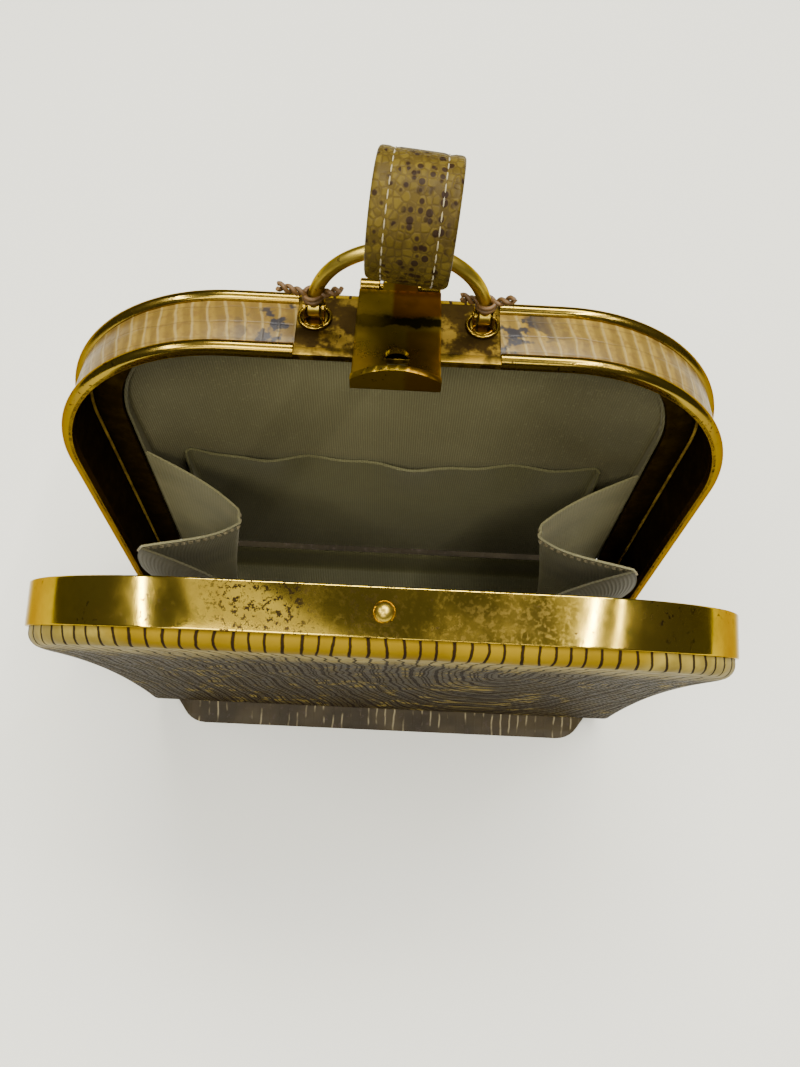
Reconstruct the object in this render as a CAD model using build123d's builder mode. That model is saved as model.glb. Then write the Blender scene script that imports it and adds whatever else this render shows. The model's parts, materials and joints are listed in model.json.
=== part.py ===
"""Open frame handbag: two hinged brass half frames, leather body, pleated cloth lining,
snap latch over a ball stud, wire bail and stitched finger strap.

Millimetres. Z is up, X runs across the bag, the front half leans to -Y and the rear half
to +Y. The origin is the middle of the flat underside. Each half is drawn in its own tilted
plane: sketch x across, sketch y up the frame from the hinge axis, extrusion outwards.
"""
from build123d import *
import os
from math import cos, radians, sin

# Driving dimensions of the frames
width = 160.0
frame_height = 136.5
corner_radius = 45.0
hinge_height = 14.0
lean_deg = 9.9
mouth_gap = 0.5
front_band_depth = 9.5
rear_band_depth = 16.6
brass = 1.2

# Rails, cut-out and inlay of the rear frame
rail_radius = 1.1
rail_root = 0.8
web_inset = 1.3
cutout_half = 21.2
inlay_thickness = 0.8
ledge_depth = 2.2
ledge_height = 0.5

# Flanges and lining retainers
flange_reach = 4.4
retainer_outer = 4.4
retainer_inner = 11.0
retainer_thickness = 1.0
arm_foot = 8.0
eye_radius = 5.0
rivet_radius = 1.5
running_gap = 0.05
lug_gap = 0.2
through = 5.0

# Leather body
leather = 1.4
front_shell_inset = 0.8
rear_shell_inset = 2.2
roll_depth = 3.5
roll_radius = 3.0
board_inset = 14.0
front_foot_depth = 29.5
rear_foot_depth = 31.0
flare_share = 0.25
board = 1.2
layer_gap = 0.2
lining = 0.8
lining_foot = 8.5
pocket_inset = 22.0
pocket_top = 74.0
pocket_thickness = 0.8

# Base
ear_radius = 6.0
board_length = 128.0
board_width = 46.0
board_corner = 8.0
floor_edge = 4.0
rivet_clinch = 1.0
rivet_clinch_radius = 3.0
rivet_head = 1.2
rivet_head_radius = 3.6
rivet_head_slope = 0.8
rear_arm_foot = 6.5
rear_tab_depth = 9.0
rear_tab_top = 22.0
rear_tab_heel = 2.5
rear_tab_shoulder = 4.0
inlay_play = 0.05
foot_length = 134.0
foot_depth = 69.0
foot_corner = 12.0
rim_length = 151.6
rim_depth = 52.0
rim_corner = 8.0
rim_height = 11.8
flare_height = 4.2

# Latch, stud and bail
latch_width = 17.0
latch_pin_depth = 18.8
latch_pin_rise = 0.7
knuckle_radius = 1.7
knuckle_gap = 0.3
latch_pin_radius = 0.8
centre_knuckle = 8.0
latch_reach = 31.4
latch_hole_radius = 2.6
stud_reach = latch_pin_depth + mouth_gap + front_band_depth / 2
latch_lift_deg = 6.0
lip_height = 6.6
lip_corner_height = -0.6
stud_radius = 2.0
stud_neck_radius = 1.2
stud_centre = 2.1
stud_height = 4.1
leaf_start = 5.0
leaf_thickness = 0.7
latch_bend = 12.0
latch_rise = 0.8
lip_flare = 0.6
lip_bend = 0.6
bail_radius = 17.5
bail_wire = 1.4
bail_depth = 11.0
bail_rise = 2.0
bail_lean_deg = -5.0
bail_eye_radius = 1.9
bail_eye_half = 1.3
fork_foot_radius = 2.75
fork_sheet = 0.6
fork_gap_half = 1.6
fork_cheek_half = 1.6
fork_pin_radius = 0.6
pin_head = 0.3
ring_wire = 0.4
ring_play = 0.1
ring_float = 0.03
strap_width = 14.4
strap_shift = 1.5
strap_thickness = 2.0
strap_loop_radius = 9.5
strap_eye_radius = 3.8
strap_eye_forward = 0.8
strap_drop = 1.5
strap_forward = 6.0
strap_rise = 13.5

# Gussets
gusset_top = 71.0
gusset_foot = 10.0
gusset_thickness = 0.6
gusset_attach = 67.2
gusset_foot_fold = 50.0
gusset_foot_ridge = 60.0
gusset_bend = 1.0
gusset_inner_fold = 38.0
gusset_outer_fold = 64.0

FRONT = -1
REAR = 1
lean = radians(lean_deg)
half_width = width / 2
hinge_line = (0, 0, hinge_height)
rear_depth = mouth_gap + rear_band_depth
front_depth = mouth_gap + front_band_depth
band_depth = {FRONT: front_depth, REAR: rear_depth}
foot_depths = {FRONT: front_foot_depth, REAR: rear_foot_depth}
shell_inset = {FRONT: front_shell_inset, REAR: rear_shell_inset}

os.makedirs("parts", exist_ok=True)


def outward(side):
    """Direction out of one half, square to its frame."""
    return Vector(0, side * cos(lean), -sin(lean))


def upward(side):
    """Direction up one half, along its frame."""
    return Vector(0, side * sin(lean), cos(lean))


def frame_plane(side, depth=0.0):
    """Plane of one half's outline at a depth outwards from the hinge axis."""
    origin = Vector(hinge_line) + outward(side) * depth
    return Plane(origin=origin, x_dir=(-side, 0, 0), z_dir=outward(side))


def point(side, x, depth, rise):
    """A point given across, outwards and up one half."""
    return Vector(hinge_line) + Vector(x, 0, 0) + outward(side) * depth + upward(side) * rise


def side_face(side, x=0.0):
    """Upright plane across one half: sketch x outwards, sketch y up the frame."""
    return Plane(origin=point(side, x, 0, 0), x_dir=outward(side), z_dir=(side, 0, 0))


def arch(inset, low):
    """Closed frame outline: straight sides, round top corners and a straight lower edge."""
    top = frame_height - inset
    with BuildSketch() as outline:
        with Locations((0, (top + low) / 2)):
            Rectangle(width - 2 * inset, top - low)
        fillet(outline.vertices().group_by(Axis.Y)[-1], corner_radius - inset)
    return outline.sketch


def arch_strip(side, outer, inner, depth, thickness, low):
    """Flat or standing strip that follows the frame outline between two insets."""
    with BuildPart() as strip:
        with BuildSketch(frame_plane(side, depth)):
            add(arch(outer, low))
            add(arch(inner, low - 1), mode=Mode.SUBTRACT)
        extrude(amount=thickness)
    return strip.part


def rail_path(from_x, low):
    """Half of the frame outline as a line, from the cut-out down to an arm's foot."""
    half = half_width - rail_radius
    top = frame_height - rail_radius
    radius = corner_radius - rail_radius
    with BuildLine() as path:
        run = Line((from_x, top), (half - radius, top))
        turn = RadiusArc(run @ 1, (half, top - radius), radius)
        Line(turn @ 1, (half, low))
    return path.line


def body_wedge(side, inset, cut, low, start=0.0, edge=0.0):
    """One half of the body: the frame outline cut to the side view, which runs beside the
    frame at its top and flares to its foot."""
    near = band_depth[side]
    foot = foot_depths[side] - cut
    top = near + roll_depth - cut
    middle = top + (foot - top) * flare_share
    with BuildPart() as body:
        with BuildSketch(side_face(side)):
            with BuildLine():
                heel = Polyline((near - roll_depth, -2), (foot, -2), (foot, 0))
                back = ThreePointArc(heel @ 1, (middle, frame_height / 2), (top, frame_height))
                Polyline(back @ 1, (near - roll_depth, frame_height), heel @ 0)
            make_face()
        extrude(amount=half_width, both=True)
        with BuildSketch(frame_plane(side, near + start)):
            add(arch(inset, low))
        extrude(amount=2 * foot, mode=Mode.INTERSECT)
        if edge:
            face = body.faces().filter_by(GeomType.CYLINDER).sort_by(SortBy.AREA)[-1]
            rim = face.edges().sort_by(Axis(origin=hinge_line, direction=upward(side)))[1:]
            fillet(rim, edge)
    return body.part


def leather_shell(side):
    """Leather half of the body, open towards the mouth and at its foot."""
    inset = shell_inset[side]
    with BuildPart() as shell:
        add(body_wedge(side, inset, 0, 0, edge=roll_radius))
        add(body_wedge(side, inset + leather, leather, -1, start=-1, edge=roll_radius - leather),
            mode=Mode.SUBTRACT)
    return shell.part


def stiff_board(side):
    """Board that keeps the leather face flat, between the leather and the lining."""
    cut = leather + layer_gap
    with BuildPart() as plate:
        add(body_wedge(side, board_inset, cut, lining_foot))
        add(body_wedge(side, board_inset - 1, cut + board, lining_foot - 1, start=-1),
            mode=Mode.SUBTRACT)
    return plate.part


def lining_shell(side):
    """Cloth lining of one half, hanging from its retainer and covering the inside."""
    cut = leather + board + 2 * layer_gap
    inset = retainer_inner + layer_gap
    with BuildPart() as shell:
        add(body_wedge(side, inset, cut, lining_foot, start=-brass))
        add(body_wedge(side, inset + lining, cut + lining, lining_foot - 1, start=-2 * brass),
            mode=Mode.SUBTRACT)
    return shell.part


# Base: leather tray, stiff board and floor lining, with an ear at each end for the hinge rivet
with BuildPart() as base_leather:
    with BuildSketch():
        RectangleRounded(foot_length, foot_depth, foot_corner)
    with BuildSketch(Plane.XY.offset(flare_height)):
        RectangleRounded(rim_length, rim_depth, rim_corner)
    loft()
    with BuildSketch(Plane.XY.offset(flare_height)):
        RectangleRounded(rim_length, rim_depth, rim_corner)
    extrude(amount=rim_height - flare_height)
    with BuildSketch(Plane.XY.offset(leather)):
        RectangleRounded(foot_length - 2 * leather, rim_depth - 2 * leather, rim_corner - leather)
    with BuildSketch(Plane.XY.offset(flare_height + leather)):
        RectangleRounded(rim_length - 2 * leather, rim_depth - 2 * leather, rim_corner - leather)
    loft(mode=Mode.SUBTRACT)
    with BuildSketch(Plane.XY.offset(flare_height + leather)):
        RectangleRounded(rim_length - 2 * leather, rim_depth - 2 * leather, rim_corner - leather)
    extrude(amount=rim_height, mode=Mode.SUBTRACT)
    for end in (-1, 1):
        ear_origin = (end * rim_length / 2, 0, hinge_height)
        ear_face = Plane(origin=ear_origin, x_dir=(0, 1, 0), z_dir=(-end, 0, 0))
        ear_drop = hinge_height - flare_height - leather
        with BuildSketch(ear_face):
            Circle(ear_radius)
            Polygon((-ear_radius, 0), (ear_radius, 0), (ear_radius, end * ear_drop),
                    (-ear_radius, end * ear_drop), align=None)
        extrude(amount=leather)
        with BuildSketch(ear_face):
            Circle(rivet_radius + running_gap)
        extrude(amount=through, both=True, mode=Mode.SUBTRACT)
base_leather.part.label = "base_leather"
export_step(base_leather.part, "parts/base_leather.step")

with BuildPart() as base_board:
    with BuildSketch(Plane.XY.offset(leather + layer_gap)):
        RectangleRounded(board_length, board_width, board_corner)
    extrude(amount=board)
base_board.part.label = "base_board"
export_step(base_board.part, "parts/base_board.step")

# The floor lining is a shallow cloth tray with a low turned-up edge
floor_level = leather + board + 2 * layer_gap
with BuildPart() as floor_lining:
    with BuildSketch(Plane.XY.offset(floor_level)):
        RectangleRounded(board_length, board_width, board_corner)
    extrude(amount=floor_edge)
    with BuildSketch(Plane.XY.offset(floor_level + lining)):
        RectangleRounded(board_length - 2 * lining, board_width - 2 * lining, board_corner - lining)
    extrude(amount=floor_edge, mode=Mode.SUBTRACT)
floor_lining.part.label = "floor_lining"
export_step(floor_lining.part, "parts/floor_lining.step")

# Hinge rivets: a domed head outside the arms and a flat clinched head inside the ear
for end, name in ((-1, "hinge_rivet_left"), (1, "hinge_rivet_right")):
    ear_inside = rim_length / 2 - leather
    head_inside = half_width + lug_gap
    shank_length = head_inside - ear_inside + rivet_clinch
    shank_start = Plane(origin=(end * (ear_inside - rivet_clinch), 0, hinge_height), z_dir=(end, 0, 0))
    with BuildPart() as rivet:
        with BuildSketch(shank_start):
            Circle(rivet_clinch_radius)
        extrude(amount=rivet_clinch)
        with BuildSketch(shank_start):
            Circle(rivet_radius)
        extrude(amount=shank_length)
        with BuildSketch(shank_start.offset(shank_length)):
            Circle(rivet_head_radius)
        extrude(amount=rivet_head)
        outer_edge = rivet.edges().sort_by(Axis(origin=shank_start.origin, direction=shank_start.z_dir))[-1]
        chamfer(outer_edge, rivet_head_slope, rivet_head_slope * 2)
    rivet.part.label = name
    export_step(rivet.part, f"parts/{name}.step")


# Front half frame: plain polished band with an inward flange that holds the leather
with BuildPart() as front_band:
    add(arch_strip(FRONT, 0, brass, mouth_gap, front_band_depth, 0))
    add(arch_strip(FRONT, brass, brass + flange_reach, front_depth - brass, brass, arm_foot))
    for end in (-1, 1):
        with BuildSketch(side_face(FRONT, end * (half_width - brass))):
            Circle(eye_radius)
            Polygon((0, 0), (front_depth, 0), (front_depth, arm_foot), (mouth_gap, arm_foot), align=None)
        extrude(amount=-end * brass)
        with BuildSketch(side_face(FRONT, end * half_width)):
            Circle(rivet_radius + running_gap)
        extrude(amount=through, both=True, mode=Mode.SUBTRACT)
front_band.part.label = "front_band"
export_step(front_band.part, "parts/front_band.step")

# Rear half frame: a web between two half-round rails, the rails cut away in the middle
rail_near = mouth_gap + rail_radius
rail_far = rear_depth - rail_radius
with BuildPart() as rear_band:
    add(arch_strip(REAR, web_inset, web_inset + brass, mouth_gap, rear_band_depth, rear_arm_foot))
    add(arch_strip(REAR, web_inset + brass, web_inset + brass + flange_reach, rear_depth - brass, brass,
                   arm_foot))
    for rail_depth in (rail_near, rail_far):
        path = frame_plane(REAR, rail_depth).from_local_coords(rail_path(cutout_half, rear_arm_foot))
        for hand in (-1, 1):
            start = point(REAR, hand * cutout_half, rail_depth, frame_height - rail_radius)
            with BuildSketch(Plane(origin=start, x_dir=outward(REAR), z_dir=(1, 0, 0))):
                Circle(rail_radius)
                with Locations((0, -rail_radius)):
                    Rectangle(2 * rail_radius, 2 * rail_radius, mode=Mode.SUBTRACT)
                with Locations((0, -rail_root / 2)):
                    Rectangle(2 * rail_radius, rail_root)
            sweep(path=path if hand < 0 else path.mirror(Plane.YZ))
    with BuildSketch(frame_plane(REAR, mouth_gap)):
        with Locations((0, frame_height - web_inset + ledge_height / 2)):
            Rectangle(2 * cutout_half, ledge_height)
    extrude(amount=ledge_depth)
    for end in (-1, 1):
        tab_face = half_width - brass - lug_gap
        with BuildSketch(side_face(REAR, end * tab_face)):
            Circle(eye_radius)
            Polygon((-rear_tab_heel, rear_tab_shoulder), (eye_radius, 0), (rear_tab_depth, rear_arm_foot),
                    (rear_tab_depth, rear_tab_top), (mouth_gap, rear_tab_top), align=None)
        extrude(amount=-end * brass)
        with BuildSketch(side_face(REAR, end * half_width)):
            Circle(rivet_radius + running_gap)
        extrude(amount=through, both=True, mode=Mode.SUBTRACT)
rear_band.part.label = "rear_band"
export_step(rear_band.part, "parts/rear_band.step")

# Thin brass retainers that clamp the lining's edge over each flange
for side, name, depth, inset in ((FRONT, "front_retainer", front_depth, brass),
                                 (REAR, "rear_retainer", rear_depth, web_inset + brass)):
    with BuildPart() as retainer:
        add(arch_strip(side, retainer_outer, retainer_inner, depth - brass - retainer_thickness,
                       retainer_thickness, arm_foot))
    retainer.part.label = name
    export_step(retainer.part, f"parts/{name}.step")

# Leather inlay strips glued into the channel on each side of the cut-out
inlay_depth = rear_band_depth - 4 * rail_radius - 2 * inlay_play
for hand, name in ((-1, "inlay_left"), (1, "inlay_right")):
    with BuildPart() as inlay:
        add(arch_strip(REAR, web_inset - inlay_thickness, web_inset, rail_near + rail_radius + inlay_play,
                       inlay_depth, rear_arm_foot))
        with BuildSketch(Plane.XY):
            with Locations((hand * (cutout_half + width / 2), rear_depth)):
                Rectangle(width, 4 * width)
        extrude(amount=2 * width, mode=Mode.INTERSECT)
    inlay.part.label = name
    export_step(inlay.part, f"parts/{name}.step")

# Body of each half: leather shell, stiff board and cloth lining
for side, half in ((FRONT, "front"), (REAR, "rear")):
    pieces = {"panel": leather_shell(side), "board": stiff_board(side), "lining": lining_shell(side)}
    for piece, solid in pieces.items():
        solid.label = f"{half}_{piece}"
        export_step(solid, f"parts/{half}_{piece}.step")


# Slip pocket: a cloth panel sewn over the lower part of the rear lining, open at its top hem
with BuildPart() as pocket:
    cut = leather + board + lining + 3 * layer_gap
    add(body_wedge(REAR, pocket_inset, cut, lining_foot))
    add(body_wedge(REAR, pocket_inset - 1, cut + pocket_thickness, lining_foot - 1, start=-1),
        mode=Mode.SUBTRACT)
    with BuildSketch(frame_plane(REAR)):
        with Locations((0, pocket_top / 2)):
            Rectangle(width, pocket_top)
    extrude(amount=2 * rear_foot_depth, mode=Mode.INTERSECT)
pocket.part.label = "slip_pocket"
export_step(pocket.part, "parts/slip_pocket.step")

# Ball stud of the latch, riveted to the middle of the front band
stud_plane = Plane(origin=point(FRONT, 0, mouth_gap + front_band_depth / 2, frame_height),
                   x_dir=(1, 0, 0), z_dir=upward(FRONT))
with BuildPart() as ball_stud:
    with BuildSketch(stud_plane):
        Circle(stud_neck_radius)
    extrude(amount=stud_radius)
    with Locations(stud_plane.offset(stud_centre)):
        Sphere(stud_radius)
    with BuildSketch(stud_plane):
        Circle(2 * stud_radius)
    extrude(amount=stud_height, mode=Mode.INTERSECT)
ball_stud.part.label = "ball_stud"
export_step(ball_stud.part, "parts/ball_stud.step")

# Hinge plate of the latch: a leaf on the exposed web with two knuckles behind the frame
latch_pin_height = frame_height + latch_pin_rise
web_top = frame_height - web_inset
latch_axis = point(REAR, 0, latch_pin_depth, latch_pin_height)
pin_across = Plane(origin=latch_axis, x_dir=outward(REAR), z_dir=(1, 0, 0))
with BuildPart() as latch_hinge_plate:
    with BuildSketch(frame_plane(REAR, leaf_start)):
        with Locations((0, web_top + leaf_thickness / 2)):
            Rectangle(latch_width, leaf_thickness)
    extrude(amount=latch_pin_depth - leaf_start)
    with BuildSketch(pin_across):
        Circle(knuckle_radius)
    extrude(amount=latch_width / 2, both=True)
    with BuildSketch(pin_across):
        Circle(latch_pin_radius)
    extrude(amount=latch_width, both=True, mode=Mode.SUBTRACT)
    with BuildSketch(pin_across):
        Circle(knuckle_radius + knuckle_gap)
    extrude(amount=centre_knuckle / 2 + knuckle_gap, both=True, mode=Mode.SUBTRACT)
latch_hinge_plate.part.label = "latch_hinge_plate"
export_step(latch_hinge_plate.part, "parts/latch_hinge_plate.step")

with BuildPart() as latch_pin:
    with BuildSketch(pin_across):
        Circle(latch_pin_radius)
    extrude(amount=latch_width / 2, both=True)
latch_pin.part.label = "latch_pin"
export_step(latch_pin.part, "parts/latch_pin.step")

# Latch: one strip with a rolled knuckle, a soft bend, a hole for the stud and a lifted lip
lifted = radians(latch_lift_deg)
forward = outward(REAR) * -cos(lifted) + upward(REAR) * sin(lifted)
latch_side = Plane(origin=latch_axis, x_dir=forward, z_dir=(-1, 0, 0))
plate_low = knuckle_radius - brass
strip_low = plate_low + latch_rise
lip_root = strip_low + brass
with BuildPart() as latch:
    with BuildSketch(latch_side):
        with BuildLine():
            FilletPolyline((0, plate_low), (latch_bend, strip_low), (latch_reach, strip_low),
                           (latch_reach + lip_flare, lip_root + lip_height), radius=lip_bend)
            offset(amount=brass, side=Side.LEFT)
        make_face()
        Circle(knuckle_radius)
    extrude(amount=latch_width / 2, both=True)
    with BuildSketch(latch_side):
        Circle(latch_pin_radius + running_gap)
    extrude(amount=latch_width, both=True, mode=Mode.SUBTRACT)
    for hand in (-1, 1):
        notch_side = latch_axis + Vector(hand * (centre_knuckle / 2 - knuckle_gap), 0, 0)
        with BuildSketch(Plane(origin=notch_side, x_dir=forward, z_dir=(-1, 0, 0))):
            Rectangle(4 * knuckle_radius, 4 * knuckle_radius)
        extrude(amount=-hand * latch_width, mode=Mode.SUBTRACT)
    with BuildSketch(Plane(origin=latch_axis + forward * stud_reach, z_dir=latch_side.y_dir)):
        Circle(latch_hole_radius)
    extrude(amount=2 * lip_height, mode=Mode.SUBTRACT)
    crest_start = latch_axis + forward * (latch_reach - 2 * brass)
    with BuildSketch(Plane(origin=crest_start, x_dir=(1, 0, 0), z_dir=forward)):
        with BuildLine():
            crest = ThreePointArc((-latch_width, lip_root + lip_corner_height), (0, lip_root + lip_height),
                                  (latch_width, lip_root + lip_corner_height))
            Polyline(crest @ 1, (latch_width, 3 * lip_height), (-latch_width, 3 * lip_height), crest @ 0)
        make_face()
    extrude(amount=through, mode=Mode.SUBTRACT)
latch.part.label = "latch"
export_step(latch.part, "parts/latch.step")

# Bail: half ring of wire with an eye at each end, held in two small forks on the web
bail_lean = radians(bail_lean_deg)
bail_up = upward(REAR) * cos(bail_lean) + outward(REAR) * sin(bail_lean)
bail_back = outward(REAR) * cos(bail_lean) - upward(REAR) * sin(bail_lean)
bail_axis = point(REAR, 0, bail_depth, frame_height + bail_rise)
bail_plane = Plane(origin=bail_axis, x_dir=(1, 0, 0), z_dir=bail_back * -1)
with BuildPart() as bail:
    with BuildLine(bail_plane):
        ring = CenterArc((0, 0), bail_radius, 0, 180)
    with BuildSketch(Plane(origin=ring @ 0, z_dir=ring % 0)):
        Circle(bail_wire)
    sweep(path=ring)
    for hand in (-1, 1):
        eye_centre = Plane(origin=bail_axis + Vector(hand * bail_radius, 0, 0), z_dir=(1, 0, 0))
        with BuildSketch(eye_centre):
            Circle(bail_eye_radius)
        extrude(amount=bail_eye_half, both=True)
        with BuildSketch(eye_centre):
            Circle(fork_pin_radius + running_gap)
        extrude(amount=through, both=True, mode=Mode.SUBTRACT)
bail.part.label = "bail"
export_step(bail.part, "parts/bail.step")

# Forks, their cross pins and the small wire rings that lie round the forks
for hand, tag in ((-1, "left"), (1, "right")):
    fork_foot = point(REAR, hand * bail_radius, bail_depth, web_top)
    fork_pin_centre = bail_axis + Vector(hand * bail_radius, 0, 0)
    pin_rise = frame_height + bail_rise - web_top
    with BuildPart() as fork:
        with BuildSketch(Plane(origin=fork_foot, x_dir=(1, 0, 0), z_dir=upward(REAR))):
            Circle(fork_foot_radius)
        extrude(amount=fork_sheet)
        for cheek in (-1, 1):
            cheek_start = fork_pin_centre + Vector(cheek * fork_gap_half, 0, 0)
            with BuildSketch(Plane(origin=cheek_start, x_dir=outward(REAR), z_dir=(1, 0, 0))):
                Circle(fork_cheek_half)
                with Locations((0, (fork_sheet / 2 - pin_rise) / 2)):
                    Rectangle(2 * fork_cheek_half, pin_rise - fork_sheet / 2)
                Circle(fork_pin_radius, mode=Mode.SUBTRACT)
            extrude(amount=cheek * fork_sheet)
    fork.part.label = f"bail_fork_{tag}"
    export_step(fork.part, f"parts/bail_fork_{tag}.step")

    with BuildPart() as fork_pin:
        with BuildSketch(Plane(origin=fork_pin_centre, z_dir=(1, 0, 0))):
            Circle(fork_pin_radius)
        extrude(amount=fork_gap_half + fork_sheet + pin_head, both=True)
    fork_pin.part.label = f"bail_pin_{tag}"
    export_step(fork_pin.part, f"parts/bail_pin_{tag}.step")

    ring_centre = fork_foot + upward(REAR) * (ring_wire + ring_float)
    with BuildPart() as wire_ring:
        with BuildSketch(Plane(origin=ring_centre, x_dir=(1, 0, 0), z_dir=outward(REAR))):
            with Locations((fork_foot_radius + ring_wire + ring_play, 0)):
                RegularPolygon(ring_wire, 8)
        revolve(axis=Axis(origin=ring_centre, direction=upward(REAR)))
    wire_ring.part.label = f"wire_ring_{tag}"
    export_step(wire_ring.part, f"parts/wire_ring_{tag}.step")


def belt(eye, loop):
    """Outline of a band drawn round the bail wire and a larger finger circle."""
    with BuildSketch() as shape:
        with Locations((-strap_eye_forward, -strap_drop)):
            Circle(eye)
        with Locations((-strap_forward, strap_rise)):
            Circle(loop)
        make_hull()
    return shape.sketch


# Finger strap: a closed stitched leather loop hung on the bail
strap_centre = bail_axis + bail_up * bail_radius + Vector(strap_shift, 0, 0)
strap_plane = Plane(origin=strap_centre, x_dir=bail_back, z_dir=(1, 0, 0))
with BuildPart() as finger_strap:
    with BuildSketch(strap_plane):
        add(belt(strap_eye_radius + strap_thickness / 2, strap_loop_radius + strap_thickness / 2))
        add(belt(strap_eye_radius - strap_thickness / 2, strap_loop_radius - strap_thickness / 2),
            mode=Mode.SUBTRACT)
    extrude(amount=strap_width / 2, both=True)
finger_strap.part.label = "finger_strap"
export_step(finger_strap.part, "parts/finger_strap.step")

# Gussets: one W-pleated cloth sheet at each end, wider at its hemmed top than at its foot
rear_top = point(REAR, 0, rear_depth, gusset_top)
front_top = point(FRONT, 0, front_depth, gusset_top)
rear_foot = point(REAR, 0, rear_depth, gusset_foot)
front_foot = point(FRONT, 0, front_depth, gusset_foot)
for hand, name in ((-1, "gusset_left"), (1, "gusset_right")):
    rows = ((hinge_height + gusset_foot, front_foot.Y, rear_foot.Y, gusset_foot_fold, gusset_foot_ridge),
            (hinge_height + gusset_top, front_top.Y, rear_top.Y, gusset_inner_fold, gusset_outer_fold))
    with BuildPart() as gusset:
        for height, front_y, rear_y, fold, ridge in rows:
            middle = (front_y + rear_y) / 2
            with BuildSketch(Plane.XY.offset(height)):
                with BuildLine():
                    FilletPolyline((hand * gusset_attach, rear_y), (hand * fold, (rear_y + middle) / 2),
                                   (hand * ridge, middle), (hand * fold, (front_y + middle) / 2),
                                   (hand * gusset_attach, front_y), radius=gusset_bend)
                    offset(amount=gusset_thickness, side=Side.LEFT if hand < 0 else Side.RIGHT)
                make_face()
        loft(ruled=True)
    gusset.part.label = name
    export_step(gusset.part, f"parts/{name}.step")
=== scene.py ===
import json
from math import cos, pi, radians, sin, sqrt

import bmesh
import bpy
import numpy as np
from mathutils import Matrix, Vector


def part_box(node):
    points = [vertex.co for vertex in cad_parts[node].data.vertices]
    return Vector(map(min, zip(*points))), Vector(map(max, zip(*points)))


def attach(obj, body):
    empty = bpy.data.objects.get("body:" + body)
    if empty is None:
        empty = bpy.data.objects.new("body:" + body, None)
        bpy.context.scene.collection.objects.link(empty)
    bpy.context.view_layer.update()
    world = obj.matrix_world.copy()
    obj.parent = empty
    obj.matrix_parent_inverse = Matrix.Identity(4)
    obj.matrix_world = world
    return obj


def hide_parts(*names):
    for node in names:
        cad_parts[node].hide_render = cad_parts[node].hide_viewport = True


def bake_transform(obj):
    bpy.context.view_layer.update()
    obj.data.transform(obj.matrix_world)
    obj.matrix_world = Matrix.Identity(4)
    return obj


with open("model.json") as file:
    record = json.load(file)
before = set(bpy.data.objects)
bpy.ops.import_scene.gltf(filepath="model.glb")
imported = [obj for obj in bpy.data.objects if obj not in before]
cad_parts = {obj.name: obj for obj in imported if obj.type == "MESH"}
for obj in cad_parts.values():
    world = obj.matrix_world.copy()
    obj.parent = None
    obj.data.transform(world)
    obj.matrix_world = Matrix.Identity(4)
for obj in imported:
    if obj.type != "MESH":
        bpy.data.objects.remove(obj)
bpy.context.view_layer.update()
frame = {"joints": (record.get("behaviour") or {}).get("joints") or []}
mm = 0.001

# The studio: the photograph's camera, close above the open mouth and a little in front of
# it, a plain pale floor, four narrow side lights that draw the bright lines on the brass
# corners, and broad lights from behind and in front.
camera_data = bpy.data.cameras.new("camera")
camera_data.lens = 27.3
camera_data.sensor_width = 36.0
camera_data.clip_start = 0.01
camera = bpy.data.objects.new("camera", camera_data)
camera.location = (0.8 * mm, -63.1 * mm, 290.7 * mm)
camera.rotation_euler = (radians(19.11), radians(-1.41), radians(2.44))
bpy.context.scene.collection.objects.link(camera)
bpy.context.scene.camera = camera

world = bpy.data.worlds.new("studio")
world.use_nodes = True
world.node_tree.nodes["Background"].inputs["Color"].default_value = (0.92, 0.93, 0.88, 1)
world.node_tree.nodes["Background"].inputs["Strength"].default_value = 0.12
bpy.context.scene.world = world


def soft_light(name, place, aim, size, watts, colour=(1, 0.97, 0.92)):
    """A rectangular area light aimed at a point."""
    data = bpy.data.lights.new(name, "AREA")
    data.shape = "RECTANGLE"
    data.size, data.size_y = size
    data.energy = watts
    data.color = colour
    lamp = bpy.data.objects.new(name, data)
    lamp.location = place
    lamp.rotation_euler = (Vector(aim) - Vector(place)).to_track_quat("-Z", "Y").to_euler()
    bpy.context.scene.collection.objects.link(lamp)


mouth_centre = (0, 0, 0.14)
soft_light("left_strip", (-0.87, -0.08, 1.11), mouth_centre, (1.1, 0.06), 14)
soft_light("left_fill", (-0.30, -0.10, 1.40), mouth_centre, (1.1, 0.22), 0.9)
soft_light("right_strip", (0.56, -0.10, 1.42), mouth_centre, (1.1, 0.03), 24)
soft_light("right_fill", (0.80, -0.10, 1.16), mouth_centre, (0.9, 0.04), 3)
soft_light("rear_softbox", (0.15, 0.58, 1.22), mouth_centre, (1.1, 0.4), 32, (1, 0.97, 0.88))
soft_light("front_softbox", (-0.2, -1.3, 1.0), (0, -0.25, 0), (1.2, 0.4), 11)
soft_light("mouth_softbox", (-0.22, -0.45, 0.95), mouth_centre, (0.3, 0.25), 5, (1, 0.97, 0.86))

floor_mesh = bpy.data.meshes.new("floor")
floor_half = 0.75
floor_mesh.from_pydata([(-floor_half, -floor_half, 0), (floor_half, -floor_half, 0),
                        (floor_half, floor_half, 0), (-floor_half, floor_half, 0)], [], [(0, 1, 2, 3)])
floor = bpy.data.objects.new("floor", floor_mesh)
bpy.context.scene.collection.objects.link(floor)


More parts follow.
